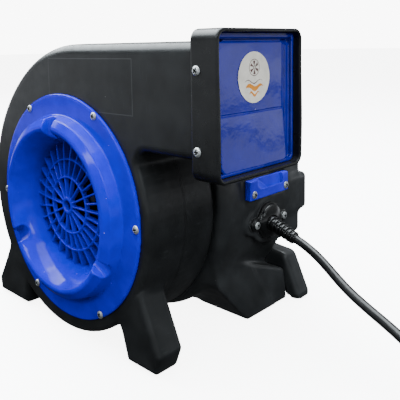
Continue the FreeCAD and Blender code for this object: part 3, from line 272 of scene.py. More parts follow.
class Look:
    """A material under construction. Lengths in its patterns are millimetres."""

    def __init__(self, name):
        self.material = bpy.data.materials.new(name)
        self.material.use_nodes = True
        self.nodes = self.material.node_tree.nodes
        self.links = self.material.node_tree.links
        self.shader = self.nodes["Principled BSDF"]
        place = self.add("ShaderNodeTexCoord").outputs["Object"]
        scaled = self.add("ShaderNodeVectorMath", operation="SCALE")
        self.links.new(place, scaled.inputs[0])
        scaled.inputs["Scale"].default_value = 1000.0
        self.place = scaled.outputs[0]

    def add(self, kind, **settings):
        node = self.nodes.new(kind)
        for key, value in settings.items():
            setattr(node, key, value)
        return node

    def put(self, socket, value):
        """Feeds a socket with a number, a colour or another node's output."""
        if isinstance(value, bpy.types.NodeSocket):
            self.links.new(value, socket)
        else:
            socket.default_value = value

    def maths(self, operation, *values):
        node = self.add("ShaderNodeMath", operation=operation)
        for socket, value in zip(node.inputs, values):
            self.put(socket, value)
        return node.outputs[0]

    def axis(self, letter):
        split = self.add("ShaderNodeSeparateXYZ")
        self.links.new(self.place, split.inputs[0])
        return split.outputs[letter]

    def noise(self, period, detail=3.0, rough=0.55, stretch=None):
        """Noise between 0 and 1 whose blobs are about a period across."""
        node = self.add("ShaderNodeTexNoise")
        node.inputs["Scale"].default_value = 1.0 / period
        node.inputs["Detail"].default_value = detail
        node.inputs["Roughness"].default_value = rough
        if stretch:
            mapping = self.add("ShaderNodeMapping")
            self.links.new(self.place, mapping.inputs["Vector"])
            mapping.inputs["Scale"].default_value = stretch
            self.links.new(mapping.outputs[0], node.inputs["Vector"])
        else:
            self.links.new(self.place, node.inputs["Vector"])
        return node.outputs["Fac"]

    def remap(self, value, low, high, to_low, to_high):
        node = self.add("ShaderNodeMapRange")
        for key, item in (("Value", value), ("From Min", low), ("From Max", high),
                          ("To Min", to_low), ("To Max", to_high)):
            self.put(node.inputs[key], item)
        return node.outputs[0]

    def mix(self, share, first, second):
        node = self.add("ShaderNodeMix", data_type="RGBA")
        self.put(node.inputs["Factor"], share)
        self.put(node.inputs[6], first)
        self.put(node.inputs[7], second)
        return node.outputs[2]

    def specks(self, spacing, size):
        """Small dots, such as dust, with one in some of the cells."""
        node = self.add("ShaderNodeTexVoronoi")
        node.inputs["Scale"].default_value = 1.0 / spacing
        self.links.new(self.place, node.inputs["Vector"])
        close = self.maths("LESS_THAN", node.outputs["Distance"], size / spacing)
        split = self.add("ShaderNodeSeparateXYZ")
        self.links.new(node.outputs["Color"], split.inputs[0])
        chosen = self.maths("GREATER_THAN", split.outputs[0], 0.7)
        return self.maths("MULTIPLY", close, chosen)

    def scratches(self, stretch, rarity):
        """Faint lines where stretched noise peaks."""
        lines = self.noise(1.0, 2.0, 0.6, stretch)
        return self.remap(lines, rarity, rarity + 0.03, 0.0, 1.0)

    def upward(self):
        """1 where the surface faces up."""
        geometry = self.add("ShaderNodeNewGeometry")
        split = self.add("ShaderNodeSeparateXYZ")
        self.links.new(geometry.outputs["Normal"], split.inputs[0])
        return self.remap(split.outputs["Z"], 0.3, 1.0, 0.0, 1.0)

    def bump(self, height, strength, distance, before=None):
        node = self.add("ShaderNodeBump")
        self.put(node.inputs["Height"], height)
        node.inputs["Strength"].default_value = strength
        node.inputs["Distance"].default_value = distance * MM
        if before is not None:
            self.links.new(before, node.inputs["Normal"])
        return node.outputs[0]

    def finish(self, colour, roughness, normal=None, **others):
        self.put(self.shader.inputs["Base Color"], colour)
        self.put(self.shader.inputs["Roughness"], roughness)
        if normal is not None:
            self.put(self.shader.inputs["Normal"], normal)
        for key, value in others.items():
            self.put(self.shader.inputs[key.replace("_", " ")], value)
        return self.material


def moulded_black(name, base, shine, rough=0.34, grain=0.020, lines=None, trace=None):
    """Black blow-moulded plastic: fine grain, faint unevenness, dust and light scratches."""
    look = Look(name)
    broad = look.noise(34.0, 2.0)
    fine = look.noise(0.55, 2.0, 0.7)
    scuffs = look.scratches((0.9, 0.05, 0.06), 0.66)
    dark = (base, base * 1.06, base * 1.12, 1.0)
    light = (base * 1.9, base * 2.0, base * 2.1, 1.0)
    tint = look.mix(look.remap(broad, 0.35, 0.7, 0.0, 1.0), dark, light)
    dust = look.maths("MULTIPLY", look.noise(3.0, 4.0, 0.7), look.upward())
    dusty = look.mix(look.maths("MULTIPLY", dust, 0.03), tint, (0.35, 0.33, 0.30, 1.0))
    marked = look.mix(look.maths("MULTIPLY", scuffs, 0.02), dusty, (0.25, 0.26, 0.27, 1.0))
    spotted = look.mix(look.maths("MULTIPLY", look.specks(17.0, 0.45), 0.20), marked,
                       (0.5, 0.5, 0.5, 1.0))
    height = look.maths("ADD", fine, look.maths("MULTIPLY", scuffs, 0.5))
    normal = look.bump(broad, 0.12, 2.5)
    normal = look.bump(height, grain, 0.06, normal)
    if trace:
        spotted = look.mix(look.maths("MULTIPLY", trace(look), 0.045), spotted,
                           (0.5, 0.5, 0.52, 1.0))
    if lines:
        mark = lines(look)
        spotted = look.mix(look.maths("MULTIPLY", mark, 0.5), spotted,
                           (0.004, 0.004, 0.004, 1.0))
        normal = look.bump(mark, 0.5, 0.5, normal)
    gloss = look.remap(look.noise(9.0, 3.0), 0.3, 0.7, rough - 0.05, rough + 0.06)
    return look.finish(spotted, gloss, normal, Specular_IOR_Level=shine)


def parting_line(level):
    """Raised double seam where the two halves of a mould met."""
    def lines(look):
        y = look.axis("Y")
        near = look.maths("ABSOLUTE", look.maths("SUBTRACT", y, level))
        twin = look.maths("ABSOLUTE", look.maths("SUBTRACT", near, 1.0))
        seam = look.remap(twin, 0.25, 0.7, 1.0, 0.0)
        geometry = look.add("ShaderNodeNewGeometry")
        split = look.add("ShaderNodeSeparateXYZ")
        look.links.new(geometry.outputs["Normal"], split.inputs[0])
        side = look.remap(look.maths("ABSOLUTE", split.outputs["Y"]), 0.3, 0.5, 1.0, 0.0)
        return look.maths("MULTIPLY", seam, side)
    return lines


TRACE_X, TRACE_Z = 50.2, 148.2          # middle of the trace
TRACE_WIDE, TRACE_TALL = 76.7, 29.4     # half its width and height


def sticker_trace(look):
    """Faint rectangle left on the intake side where a sticker used to be."""
    far_x = look.maths("ABSOLUTE", look.maths("SUBTRACT", look.axis("X"), TRACE_X))
    far_z = look.maths("ABSOLUTE", look.maths("SUBTRACT", look.axis("Z"), TRACE_Z))
    reach = look.maths("MAXIMUM", look.maths("SUBTRACT", far_x, TRACE_WIDE),
                       look.maths("SUBTRACT", far_z, TRACE_TALL))
    edge = look.remap(look.maths("ABSOLUTE", reach), 0.25, 0.7, 1.0, 0.0)
    front = look.maths("LESS_THAN", look.axis("Y"), 5.0)
    return look.maths("MULTIPLY", edge, front)


def blue_plastic(name, base, rough, mottle, shine):
    """Glossy blue injection-moulded plastic, with flow mottling, dust and hairline marks."""
    look = Look(name)
    flow = look.noise(22.0, 3.0)
    fine = look.noise(1.6, 3.0, 0.65)
    deep = (base[0] * 0.7, base[1] * 0.75, base[2] * 0.85, 1.0)
    bright = (base[0] * 1.6, base[1] * 1.35, min(base[2] * 1.15, 1.0), 1.0)
    tint = look.mix(look.remap(flow, 0.3, 0.7, 0.0, 1.0), deep, bright)
    hair = look.scratches((0.5, 0.04, 0.5), 0.70)
    tint = look.mix(look.maths("MULTIPLY", hair, 0.03), tint, (0.35, 0.42, 0.8, 1.0))
    tint = look.mix(look.maths("MULTIPLY", look.specks(13.0, 0.4), 0.6), tint,
                    (0.75, 0.8, 0.9, 1.0))
    gloss = look.remap(fine, 0.3, 0.75, rough, rough + 0.12)
    normal = look.bump(flow, mottle, 1.2)
    normal = look.bump(fine, 0.05, 0.08, normal)
    return look.finish(tint, gloss, normal, Specular_IOR_Level=shine)


def plated_metal(name, base=(0.62, 0.64, 0.66), rough=0.26, metallic=1.0, shade_recess=False):
    """Zinc plating or turned metal, slightly blotched; screws can carry painted shade in their
    cross recess.
    """
    look = Look(name)
    blotch = look.noise(1.1, 3.0, 0.6)
    fine = look.noise(0.3, 2.0, 0.7)
    dark = tuple(c * 0.62 for c in base) + (1.0,)
    tint = look.mix(look.remap(blotch, 0.35, 0.7, 0.0, 1.0), dark, base + (1.0,))
    if shade_recess:
        # painted shade: the cross recess is coloured nearly black to stand in for the shade
        # inside it
        recess = look.add("ShaderNodeAttribute", attribute_name="recess")
        tint = look.mix(recess.outputs["Fac"], tint, (0.012, 0.012, 0.012, 1.0))
    gloss = look.remap(fine, 0.3, 0.7, rough, rough + 0.14)
    return look.finish(tint, gloss, look.bump(fine, 0.12, 0.05), Metallic=metallic)


def black_rubber(name, base, rough):
    """Satin cable rubber with a powdery bloom."""
    look = Look(name)
    fine = look.noise(0.5, 3.0, 0.7)
    bloom = look.noise(14.0, 3.0)
    dark = (base, base, base * 1.05, 1.0)
    pale = (base * 2.4, base * 2.4, base * 2.5, 1.0)
    tint = look.mix(look.remap(bloom, 0.35, 0.75, 0.0, 1.0), dark, pale)
    gloss = look.remap(fine, 0.3, 0.7, rough - 0.08, rough + 0.08)
    return look.finish(tint, gloss, look.bump(fine, 0.12, 0.08))


def plain_look(name, base, rough, metallic=0.0, grain=0.8, depth=0.05):
    """Simple cast, painted or moulded finish with fine grain and slow tone changes."""
    look = Look(name)
    slow = look.noise(12.0, 3.0)
    fine = look.noise(grain, 3.0, 0.65)
    dark = tuple(c * 0.72 for c in base) + (1.0,)
    tint = look.mix(look.remap(slow, 0.3, 0.7, 0.0, 1.0), dark, base + (1.0,))
    gloss = look.remap(fine, 0.3, 0.7, rough - 0.06, rough + 0.08)
    return look.finish(tint, gloss, look.bump(fine, 0.2, depth), Metallic=metallic)


HOUSING_BLACK = moulded_black("housing_black", 0.0060, 0.28, lines=parting_line(60.0),
                              trace=sticker_trace)
MOTOR_BLACK = moulded_black("motor_black", 0.0095, 0.38, rough=0.33, grain=0.005)
COLLAR_BLACK = moulded_black("collar_black", 0.0034, 0.30, rough=0.30)
GLAND_BLACK = moulded_black("gland_black", 0.0020, 0.50, rough=0.20)
RING_BLUE = blue_plastic("ring_blue", (0.0040, 0.0008, 0.43), 0.07, 0.08, 0.13)
FLAP_BLUE = blue_plastic("flap_blue", (0.003, 0.005, 0.15), 0.06, 0.34, 0.42)
BRACKET_BLUE = blue_plastic("bracket_blue", (0.012, 0.012, 0.42), 0.28, 0.15, 0.22)
ZINC = plated_metal("zinc_plate")
# the screw heads get painted shade in their cross recesses
SCREW_ZINC = plated_metal("screw_zinc", (0.62, 0.64, 0.64), 0.30, 0.8, shade_recess=True)
STEEL = plated_metal("ground_steel", (0.52, 0.53, 0.55), 0.22)
BRIGHT = plated_metal("bearing_steel", (0.70, 0.71, 0.73), 0.12)
BRASS = plated_metal("plug_brass", (0.78, 0.58, 0.24), 0.22)
DULL_ZINC = plated_metal("dull_zinc", (0.10, 0.10, 0.105), 0.45)
RUBBER = black_rubber("cable_rubber", 0.004, 0.26)
FOOT_RUBBER = black_rubber("foot_rubber", 0.014, 0.7)
LABEL_FILM = plain_look("label_cream", (0.56, 0.52, 0.46), 0.34, 0.0, 0.6, 0.02)
LABEL_INK = plain_look("label_ink", (0.06, 0.012, 0.010), 0.4, 0.0, 0.6, 0.02)
LABEL_ORANGE = plain_look("label_orange", (0.50, 0.17, 0.003), 0.4, 0.0, 0.6, 0.02)


# ----------------------------------------------------------------- scroll housing

SIDE, BACK = 4.0, 110.0
DUCT_LOW, DUCT_TOP, DUCT_END, DUCT_BACK = 82.0, 194.0, 228.0, 131.8
CREASE = 14.0                       # fillet where the duct's floor meets the scroll
FOOT_LOW = -157.0


def scroll_corners():
    """Outline of the scroll and duct: four ever smaller arcs, then the tongue's fillet."""
    crease_x = 1.0 + math.sqrt((145.0 + CREASE) ** 2 - (DUCT_LOW - CREASE) ** 2)
    meet = math.degrees(math.atan2(DUCT_LOW - CREASE, crease_x - 1.0))
    corners = [(DUCT_END, DUCT_TOP)]
    corners += arc((19.0, 5.0), 189.0, 90.0, 180.0)
    corners += arc((-9.5, 5.0), 160.5, 180.0, 270.0)
    corners += arc((-9.5, 0.0), 155.5, 270.0, 360.0)
    corners += arc((1.0, 0.0), 145.0, 0.0, meet, 8)
    corners += arc((crease_x, DUCT_LOW - CREASE), CREASE, 180.0 + meet, 90.0, 8)
    corners.append((DUCT_END, DUCT_LOW))
    return corners


SCROLL = scroll_corners()
RIGHT_FOOT = [(80.0, -92.0), (96.0, -128.0), (105.0, FOOT_LOW), (150.0, FOOT_LOW),
              (158.0, -136.0), (129.0, -72.0)]
LEFT_FOOT = [(-90.0, -100.0), (-138.0, -70.0), (-160.0, -108.0), (-179.0, -138.0),
             (-176.0, FOOT_LOW), (-106.0, FOOT_LOW), (-100.0, -132.0)]


def scroll_field(x, y, z):
    plan = outline(x, z, SCROLL)
    back = BACK + (DUCT_BACK - BACK) * ramp(x, 150.0, 200.0)
    depth = np.maximum(SIDE - y, (y - back) * 0.92)
    edge = 6.0 + 6.0 * ramp(z, 60.0, 160.0)
    shell = rounded(edge, plan, depth)
    feet = np.minimum(outline(x, z, RIGHT_FOOT), outline(x, z, LEFT_FOOT))
    feet = join(feet, plan + 5.0, 16.0)
    feet = rounded(6.5, feet, between(y, SIDE + 0.2, 42.0))
    body = join(shell, feet, 0.1 + 8.0 * ramp(y, 10.0, 26.0))
    room = rounded(6.0, outline(x, z, SCROLL) + 5.0,
                   np.maximum(SIDE + 5.0 - y, y - back + 5.0))
    mouth = rounded(4.0, between(x, 150.0, DUCT_END + 20.0),
                    between(z, DUCT_LOW + 5.0, DUCT_TOP - 5.0),
                    np.maximum(SIDE + 5.0 - y, (y - back + 5.0) * 0.92))
    intake = np.maximum(around(x, z) - 112.0, between(y, -20.0, 20.0))
    wheel_hole = np.maximum(around(x, z) - 118.0, between(y, 90.0, 130.0))
    hollow = np.minimum(np.minimum(room, mouth), np.minimum(intake, wheel_hole))
    return carve(body, hollow, 0.5)


def make_scroll():
    low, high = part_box("scroll_housing")
    field_piece("scroll_shell", scroll_field, np.array(low) / MM, np.array(high) / MM, 2.4,
                HOUSING_BLACK, "housing", "black_plastic", "scroll_housing")


# ------------------------------------------------------------------ motor housing

DRUM_FRONT, DRUM_BACK, DRUM = 114.0, 266.0, 158.0
ARM = ([(60.0, -84.0), (104.0, -95.0)] + arc((131.5, -109.5), 12.0, 80.0, 20.0, 6)
       + [(162.6, -150.0), (162.6, FOOT_LOW), (141.0, FOOT_LOW)]
       + arc((118.0, -135.5), 11.0, 30.0, 85.0, 6) + [(70.0, -122.0)])
BASE = [(-1.0, -142.0), (54.0, -142.0), (70.0, FOOT_LOW), (146.0, FOOT_LOW),
        (147.5, -154.0), (139.0, -88.0), (134.0, -40.0), (-1.0, -40.0)]


def motor_field(x, y, z):
    wide = np.abs(x)
    out = around(x, z)
    corner = 15.0 + 13.0 * ramp(y, 180.0, 230.0)
    drum = rounded(corner, out - DRUM, between(y, DRUM_FRONT, DRUM_BACK))
    shoulder = block(wide, y, z, (90.0, 196.0, -64.0), (158.5, 272.0, 46.0), 9.0)
    body = join(drum, shoulder, 10.0)
    front = -(0.754 * (y - 113.0) + 0.657 * (z + 93.0))
    crown = 0.344 * (y - 180.0) + 0.939 * (z + 88.0)
    crease = 0.84 * (y - 185.0) + 0.54 * (z + 93.0)
    sunk = 0.6 * ramp(crease, -0.6, 0.6) + 0.6 * ramp(crease, 4.0, 5.2)
    base = rounded(3.5, outline(wide + sunk, z, BASE), front, between(y, 121.0, 257.5), crown)
    body = join(body, base, 12.0)
    arm = rounded(6.5, outline(wide, z, ARM), between(y, 261.0, 290.0))
    body = join(body, arm, 6.0)
    boss = block(x, y, z, (118.0, 236.0, -33.0), (161.0, 284.0, 18.0), 7.0)
    body = join(body, boss, 7.0)
    pad = block(x, y, z, (130.0, 147.0, 1.0), (157.9, 232.0, 31.0), 3.0)
    seat = rounded(4.0, between(x, 130.0, 157.9),
                   outline_of_gland(y, z, 7.0))
    body = join(join(body, pad, 2.5), seat, 3.0)
    body = carve(body, np.maximum(between(y, 149.0, 230.0), np.maximum(
        158.2 - x, between(z, 3.0, 29.0))), 0.3)
    room = rounded(10.0, out - 138.0, between(y, DRUM_FRONT + 5.0, DRUM_BACK - 8.0))
    front_hole = np.maximum(out - 112.0, y - 130.0)
    back_hole = np.maximum(out - 108.0, 240.0 - y)
    cover_seat = np.maximum(out - 126.4, 265.8 - y)
    hollow = np.minimum(np.minimum(room, cover_seat), np.minimum(front_hole, back_hole))
    return carve(body, hollow, 0.5)


GLAND_Y, GLAND_Z, GLAND_LOBE = 195.3, -29.5, 28.65


def outline_of_gland(y, z, grow):
    """Plan of the cord entry: a disc with a lobe on each side."""
    middle = around(y - GLAND_Y, z - GLAND_Z) - 23.0 - grow
    lobes = around(np.abs(y - GLAND_Y) - GLAND_LOBE, z - GLAND_Z) - 8.0 - grow
    return join(middle, lobes, 7.0)


def make_motor_housing():
    field_piece("motor_moulding", motor_field, (-166.0, 112.0, -160.0), (166.0, 292.0, 160.0),
                2.4, MOTOR_BLACK, "housing", "black_plastic", "motor_housing")


# -------------------------------------------------------------------- intake ring

NOTCH_TURNS = (91.0, -29.0, -149.0)
BOWL = (131.0, 22.0)
THROAT = 76.0
RING_OUTSIDE = (
    [(136.0, 4.0)] + arc((134.4, 1.6), 1.6, 0.0, -90.0, 5)
    + arc((112.6, -1.8), 1.8, 90.0, 180.0, 5) + [(110.6, -2.8)]
    + arc((105.9, -12.3), 1.7, -10.0, -60.0, 5)
    + arc((97.0, -11.9), 7.0, -68.0, -135.0, 8)
    + arc(BOWL, 55.0, 225.0, 180.0, 16) + [(THROAT, 24.0)])
RING_INSIDE = (
    [(79.0, 24.0)] + arc(BOWL, 52.0, 180.0, 225.0, 12)
    + arc((97.0, -11.9), 3.8, -135.0, -68.0, 5) + [(103.6, -11.6), (107.4, 0.0), (107.4, 4.0)])
GUARD_LINE = ([0.0, 9.0, 34.0, 56.0, 78.0], [5.6, 5.8, 7.2, 10.0, 13.5])
GUARD_DEPTH = ([0.0, 9.0, 34.0, 56.0, 78.0], [5.5, 5.5, 6.5, 10.0, 14.5])


def ring_field(x, y, z):
    out = around(x, z)
    body = outline(out, y, RING_OUTSIDE + RING_INSIDE)
    solid = np.maximum(outline(out, y, RING_OUTSIDE), np.maximum(out - 107.5, y))
    for turn in NOTCH_TURNS:
        cos, sin = math.cos(math.radians(turn)), math.sin(math.radians(turn))
        radial = x * cos + z * sin
        across = np.abs(-x * sin + z * cos)
        body = join(body, np.maximum(solid, np.maximum(across - 12.0, 60.0 - radial)), 0.3)
        notch = rounded(1.5, across - 9.2, y + 6.0 + 0.05 * across ** 2,
                        between(radial, 60.0, 125.0))
        body = carve(body, notch, 0.8)
    return body


def guard_field(x, y, z):
    out = around(x, z)
    top = np.interp(out, *GUARD_LINE)
    deep = top + np.interp(out, *GUARD_DEPTH)
    turn = np.arctan2(z, x) + math.radians(1.3)

    def spokes(count, near, far):
        pitch = 2.0 * math.pi / count
        offset = np.abs((turn + pitch / 2.0) % pitch - pitch / 2.0)
        across = out * np.sin(offset)
        return rounded(0.8, across - 1.15, between(y, top, deep), between(out, near, far))

    guard = np.minimum(spokes(14, 7.0, 35.0), spokes(28, 33.5, 77.5))
    for radius in (34.5, 56.0):
        hoop = rounded(0.8, np.abs(out - radius) - 1.2, between(y, top - 0.2, top + 6.0))
        guard = join(guard, hoop, 0.8)
    hub = rounded(1.0, between(out, 6.3, 10.2), between(y, 4.8, 12.0))
    return join(guard, hub, 1.2)


def make_ring():
    field_piece("intake_bell", ring_field, (-137.0, -20.0, -137.0), (137.0, 25.0, 137.0), 1.35,
                RING_BLUE, "housing", "blue_plastic", "intake_ring")
    field_piece("finger_guard", guard_field, (-79.0, 4.0, -79.0), (79.0, 29.0, 79.0), 0.9,
                RING_BLUE, "housing", "blue_plastic")


# ---------------------------------------------------- outlet collar, frame and flap

COLLAR_X, MOUTH_X = 212.9, 246.2
COLLAR_LOW, COLLAR_TOP, COLLAR_DEEP = 63.4, 205.4, 135.8


def sheet(y, z, inset, corner):
    """Rounded rectangle of the collar, pulled in by an inset."""
    return rounded(corner, between(y, inset, COLLAR_DEEP - inset),
                   between(z, COLLAR_LOW + inset, COLLAR_TOP - inset))


def collar_field(x, y, z):
    wave = 0.7 * np.sin(y / 17.0 + 0.6) * np.sin(z / 23.0)
    outside = rounded(2.0, sheet(y, z, 0.0, 11.0), between(x + wave * ramp(x, 230.0, 244.0),
                                                         COLLAR_X, MOUTH_X))
    inside = rounded(1.0, sheet(y, z, 3.7, 7.5), 216.5 - x)
    duct = block(x, y, z, (200.0, SIDE - 0.1, DUCT_LOW - 0.1),
                 (220.0, DUCT_BACK + 0.1, DUCT_TOP + 0.1), 3.0)
    return carve(outside, np.minimum(inside, duct), 1.4)


def frame_field(x, y, z):
    plate = np.maximum(sheet(y, z, 4.0, 7.2), between(x, 228.2, 231.2))
    window = sheet(y, z, 18.0, 6.0)
    plate = carve(plate, window, 1.0)
    rim = rounded(0.9, np.maximum(sheet(y, z, 4.0, 7.2), -sheet(y, z, 7.6, 4.0)),
                  between(x, 229.0, 237.5))
    step = rounded(0.8, np.maximum(sheet(y, z, 7.0, 4.5), -sheet(y, z, 13.4, 4.0)),
                   between(x, 229.0, 233.2), z - 190.0)
    body = join(join(plate, rim, 1.2), step, 0.8)
    ears = rounded(1.2, between(np.abs(y - COLLAR_DEEP / 2.0), 59.6, 63.6),
                   between(x, 229.5, 238.0), between(z, 193.5, 201.3))
    return join(body, ears, 1.0)


FLAP_LEFT, FLAP_RIGHT, FLAP_LOW, FLAP_TOP, FLAP_CREASE = 15.5, 120.5, 69.5, 193.0, 124.5
HINGE_X, HINGE_Z = 234.5, 198.2
FLAP_FACE = 234.2


def flap_field(x, y, z):
    kick = 0.062 * np.maximum(FLAP_CREASE - z, 0.0)
    warp = 0.35 * np.sin(y / 21.0) * np.sin(z / 15.0)
    groove = 0.6 * np.exp(-((z - FLAP_CREASE) / 0.5) ** 2)
    middle = FLAP_FACE - 1.25 + kick + warp - groove
    right = FLAP_RIGHT - 1.0 - 3.0 * ramp(z, FLAP_CREASE - 2.0, FLAP_CREASE + 2.0)
    face = rounded(7.0, between(y, FLAP_LEFT, right), between(z, FLAP_LOW, FLAP_TOP + 8.0))
    face = np.maximum(face, z - FLAP_TOP)
    panel = rounded(1.1, face, np.abs(x - middle) - 1.25)
    roll = rounded(0.8, around(x - HINGE_X, z - HINGE_Z) - 3.2, between(y, 10.4, 125.4))
    web = rounded(0.5, between(y, FLAP_LEFT + 6.0, FLAP_RIGHT - 6.0), between(z, 190.0, 197.0),
                  between(x, 231.8, 233.4))
    body = join(join(panel, roll, 1.0), web, 0.6)
    return carve(body, around(x - HINGE_X, z - HINGE_Z) - 1.56, 0.2)


LABEL_Y, LABEL_Z, LABEL_R = 68.0, 158.3, 25.0


def make_label():
    """Cream sticker with a generic fan wheel over streams of air."""
    face = FLAP_FACE + 0.02
    disc = [(LABEL_Y, LABEL_Z)] + arc((LABEL_Y, LABEL_Z), LABEL_R, 0.0, 360.0, 97)

    def flat(name, loops, level):
        """Thin printed shapes that lie one above the other on the flap's face."""
        points, faces = [], []
        for loop in loops:
            start = len(points)
            points += [(level, y, z) for y, z in loop]
            faces.append(list(range(start, start + len(loop))))
        mesh = bpy.data.meshes.new(name)
        mesh.from_pydata([(x * MM, y * MM, z * MM) for x, y, z in points], [], faces)
        mesh.update()
        return mesh

    film = flat("label_film", [disc[1:-1]], face + 0.45)
    label = piece("label_film", film, LABEL_FILM, "flap", "label_film", "flap_label")
    edge = label.modifiers.new("thick", "SOLIDIFY")
    edge.thickness = 0.4 * MM
    edge.offset = -1.0

    def band(radius, width, start, end):
        """Half of a printed ring round the fan wheel."""
        outer = arc(wheel, radius + width / 2, start, end, 32)
        inner = arc(wheel, radius - width / 2, end, start, 32)
        return outer + inner

    wheel = (LABEL_Y, LABEL_Z + 9.5)
    lines = [band(radius, width, start, start + 180)
             for radius, width in ((8.0, 0.6), (1.6, 0.7)) for start in (0, 180)]
    for turn in range(18, 360, 60):
        tip = arc(wheel, 6.6, turn, turn + 30.0, 6)
        root = arc(wheel, 2.4, turn + 24.0, turn + 6.0, 3)
        lines.append(tip + root)

    def stream(level, near, far, height):
        """A wavy strip of moving air."""
        upper, lower = [], []
        for i in range(28):
            share = i / 27.0
            y = near + (far - near) * share
            z = level + 1.8 * math.sin(share * 3.0 * math.pi)
            half = height * math.sin(math.pi * (0.12 + 0.88 * share)) * 0.5
            upper.append((y, z + half))
            lower.append((y, z - half))
        return upper + lower[::-1]

    lines.append(stream(LABEL_Z - 4.2, LABEL_Y - 15.0, LABEL_Y + 14.0, 0.9))
    print_mesh = flat("label_lines", lines, face + 0.53)
    piece("label_lines", print_mesh, LABEL_INK, "flap", "label_film")
    warm = [stream(LABEL_Z - 9.5, LABEL_Y - 13.0, LABEL_Y + 15.0, 5.0),
            stream(LABEL_Z - 16.0, LABEL_Y - 8.0, LABEL_Y + 9.0, 2.6)]
    air = flat("label_streams", warm, face + 0.53)
    piece("label_streams", air, LABEL_ORANGE, "flap", "label_film")


def make_outlet():
    field_piece("collar_shell", collar_field, (COLLAR_X, -1.0, COLLAR_LOW),
                (MOUTH_X + 1.0, COLLAR_DEEP + 1.0, COLLAR_TOP), 1.2, COLLAR_BLACK, "housing",
                "black_gloss", "outlet_collar")
    field_piece("valve_frame", frame_field, (228.0, 3.0, 66.0), (239.0, 133.0, 203.0), 0.9,
                FLAP_BLUE, "housing", "blue_plastic", "flap_frame")
    field_piece("valve_flap", flap_field, (229.0, 9.0, 68.0), (240.0, 127.0, 203.0), 0.9,
                FLAP_BLUE, "flap", "blue_plastic", "outlet_flap")
    make_label()


# --------------------------------------------------- strap bracket and cord entry

BRACKET_FACE = 167.0


def bracket_field(x, y, z):
    body = block(x, y, z, (158.25, 150.0, 4.0), (BRACKET_FACE, 229.0, 28.0), 1.6)
    body = trim(body, -(x - 158.25) * 0.35 + (y - 229.0) * 0.94 + 2.0, 0.6)
    slant = (x - 160.5) * 0.55 + (12.0 - z) * 0.84
    pocket = rounded(1.0, between(y, 165.0, 217.5), 160.5 - x, slant)
    cheek = (BRACKET_FACE - x) * 0.80 - (y - 165.0) * 0.30 - (z - 20.0) * 0.45
    pocket = np.maximum(pocket, cheek)
    return carve(body, pocket, 0.8)


def gland_field(x, y, z):
    plan = outline_of_gland(y, z, 0.0)
    step = rounded(0.8, plan, between(x, 158.3, 162.6))
    raised = rounded(1.0, plan + 2.2, between(x, 160.0, 164.2))
    body = join(step, raised, 0.6)
    ball = (23.0 ** 2 + 9.0 ** 2) / 18.0
    dome = np.sqrt((x - (164.0 + 9.0 - ball)) ** 2 + (y - GLAND_Y) ** 2
                   + (z - GLAND_Z) ** 2) - ball
    dome = trim(dome, around(y - GLAND_Y, z - GLAND_Z) - 21.0, 2.0)
    body = join(body, np.maximum(dome, 160.0 - x), 2.0)
    run, off = along_line(x, y, z, BOOT_ROOT, BOOT_WAY)
    return carve(body, np.maximum(off - 9.4, 2.0 - run), 1.0)


CORD = 5.25
BOOT_ROOT = np.array((163.0, 190.0, -28.0))
BOOT_WAY = np.array((0.951, -0.091, -0.294))
BOOT_WAY = BOOT_WAY / np.linalg.norm(BOOT_WAY)


def boot_field(x, y, z):
    run, off = along_line(x, y, z, BOOT_ROOT, BOOT_WAY)
    side = (y - BOOT_ROOT[1]) * BOOT_WAY[0] - (x - BOOT_ROOT[0]) * BOOT_WAY[1]
    core = rounded(0.4, off - (6.5 - 0.012 * run), between(run, 2.0, 46.0))
    root = rounded(1.2, off - 9.0, between(run, 2.0, 9.5))
    body = join(core, root, 1.5)
    for i in range(6):
        start = 13.2 + 5.5 * i
        rib = rounded(0.8, off - (8.9 - 0.22 * i), between(run, start, start + 3.1))
        body = join(body, rib, 0.3)
        web = np.maximum(off - (8.3 - 0.25 * i), between(run, start - 2.6, start + 0.5))
        flank = np.abs(side) - 1.6 if i % 2 else np.abs(np.abs(side) - 8.0) - 2.0
        body = join(body, np.maximum(web, flank), 0.5)
    return carve(body, off - CORD, 0.2)


def make_entry():
    field_piece("strap_pocket", bracket_field, (157.0, 149.0, 3.0), (168.0, 230.0, 29.0), 0.7,
                BRACKET_BLUE, "housing", "blue_plastic", "strap_bracket")
    field_piece("gland_cap", gland_field, (157.5, 157.0, -54.0), (175.0, 233.0, -5.0), 0.75,
                GLAND_BLACK, "housing", "black_gloss", "cord_gland")
    field_piece("ribbed_boot", boot_field, (160.0, 174.0, -54.0), (211.0, 202.0, -16.0), 0.65,
                GLAND_BLACK, "housing", "black_rubber", "strain_relief")


# ------------------------------------------------------------------------- screws

def screw_head_field(x, y, z):
    """Pan head with a cross recess, standing on z = 0."""
    out = around(x, y)
    dome = np.sqrt(out ** 2 + (z + 5.2) ** 2) - 7.8
    head = trim(rounded(0.5, out - 4.75, between(z, 0.0, 3.4)), dome, 0.8)
    arm = np.minimum(np.maximum(np.abs(x) - 0.75, np.abs(y) - 2.6),
                     np.maximum(np.abs(y) - 0.75, np.abs(x) - 2.6))
    slant = 0.7 + 0.30 * out
    cross = np.maximum(arm, slant - z)
    heart = np.maximum(out - 1.35, 1.0 + 0.3 * out - z)
    return carve(head, np.minimum(cross, heart), 0.15)


INTAKE_PITCH, COVER_PITCH = 132.0, 115.0    # radii of the rings of screws
COLLAR_SCREW_X, COLLAR_SCREW_LEVELS = 220.9, (92.6, 167.3)


def ring_of_screws(radius, y, way, turns):
    """Places and directions of screws on a ring round the fan axis."""
    return [((radius * math.cos(math.radians(t)), y, radius * math.sin(math.radians(t))),
             (0, way, 0)) for t in turns]


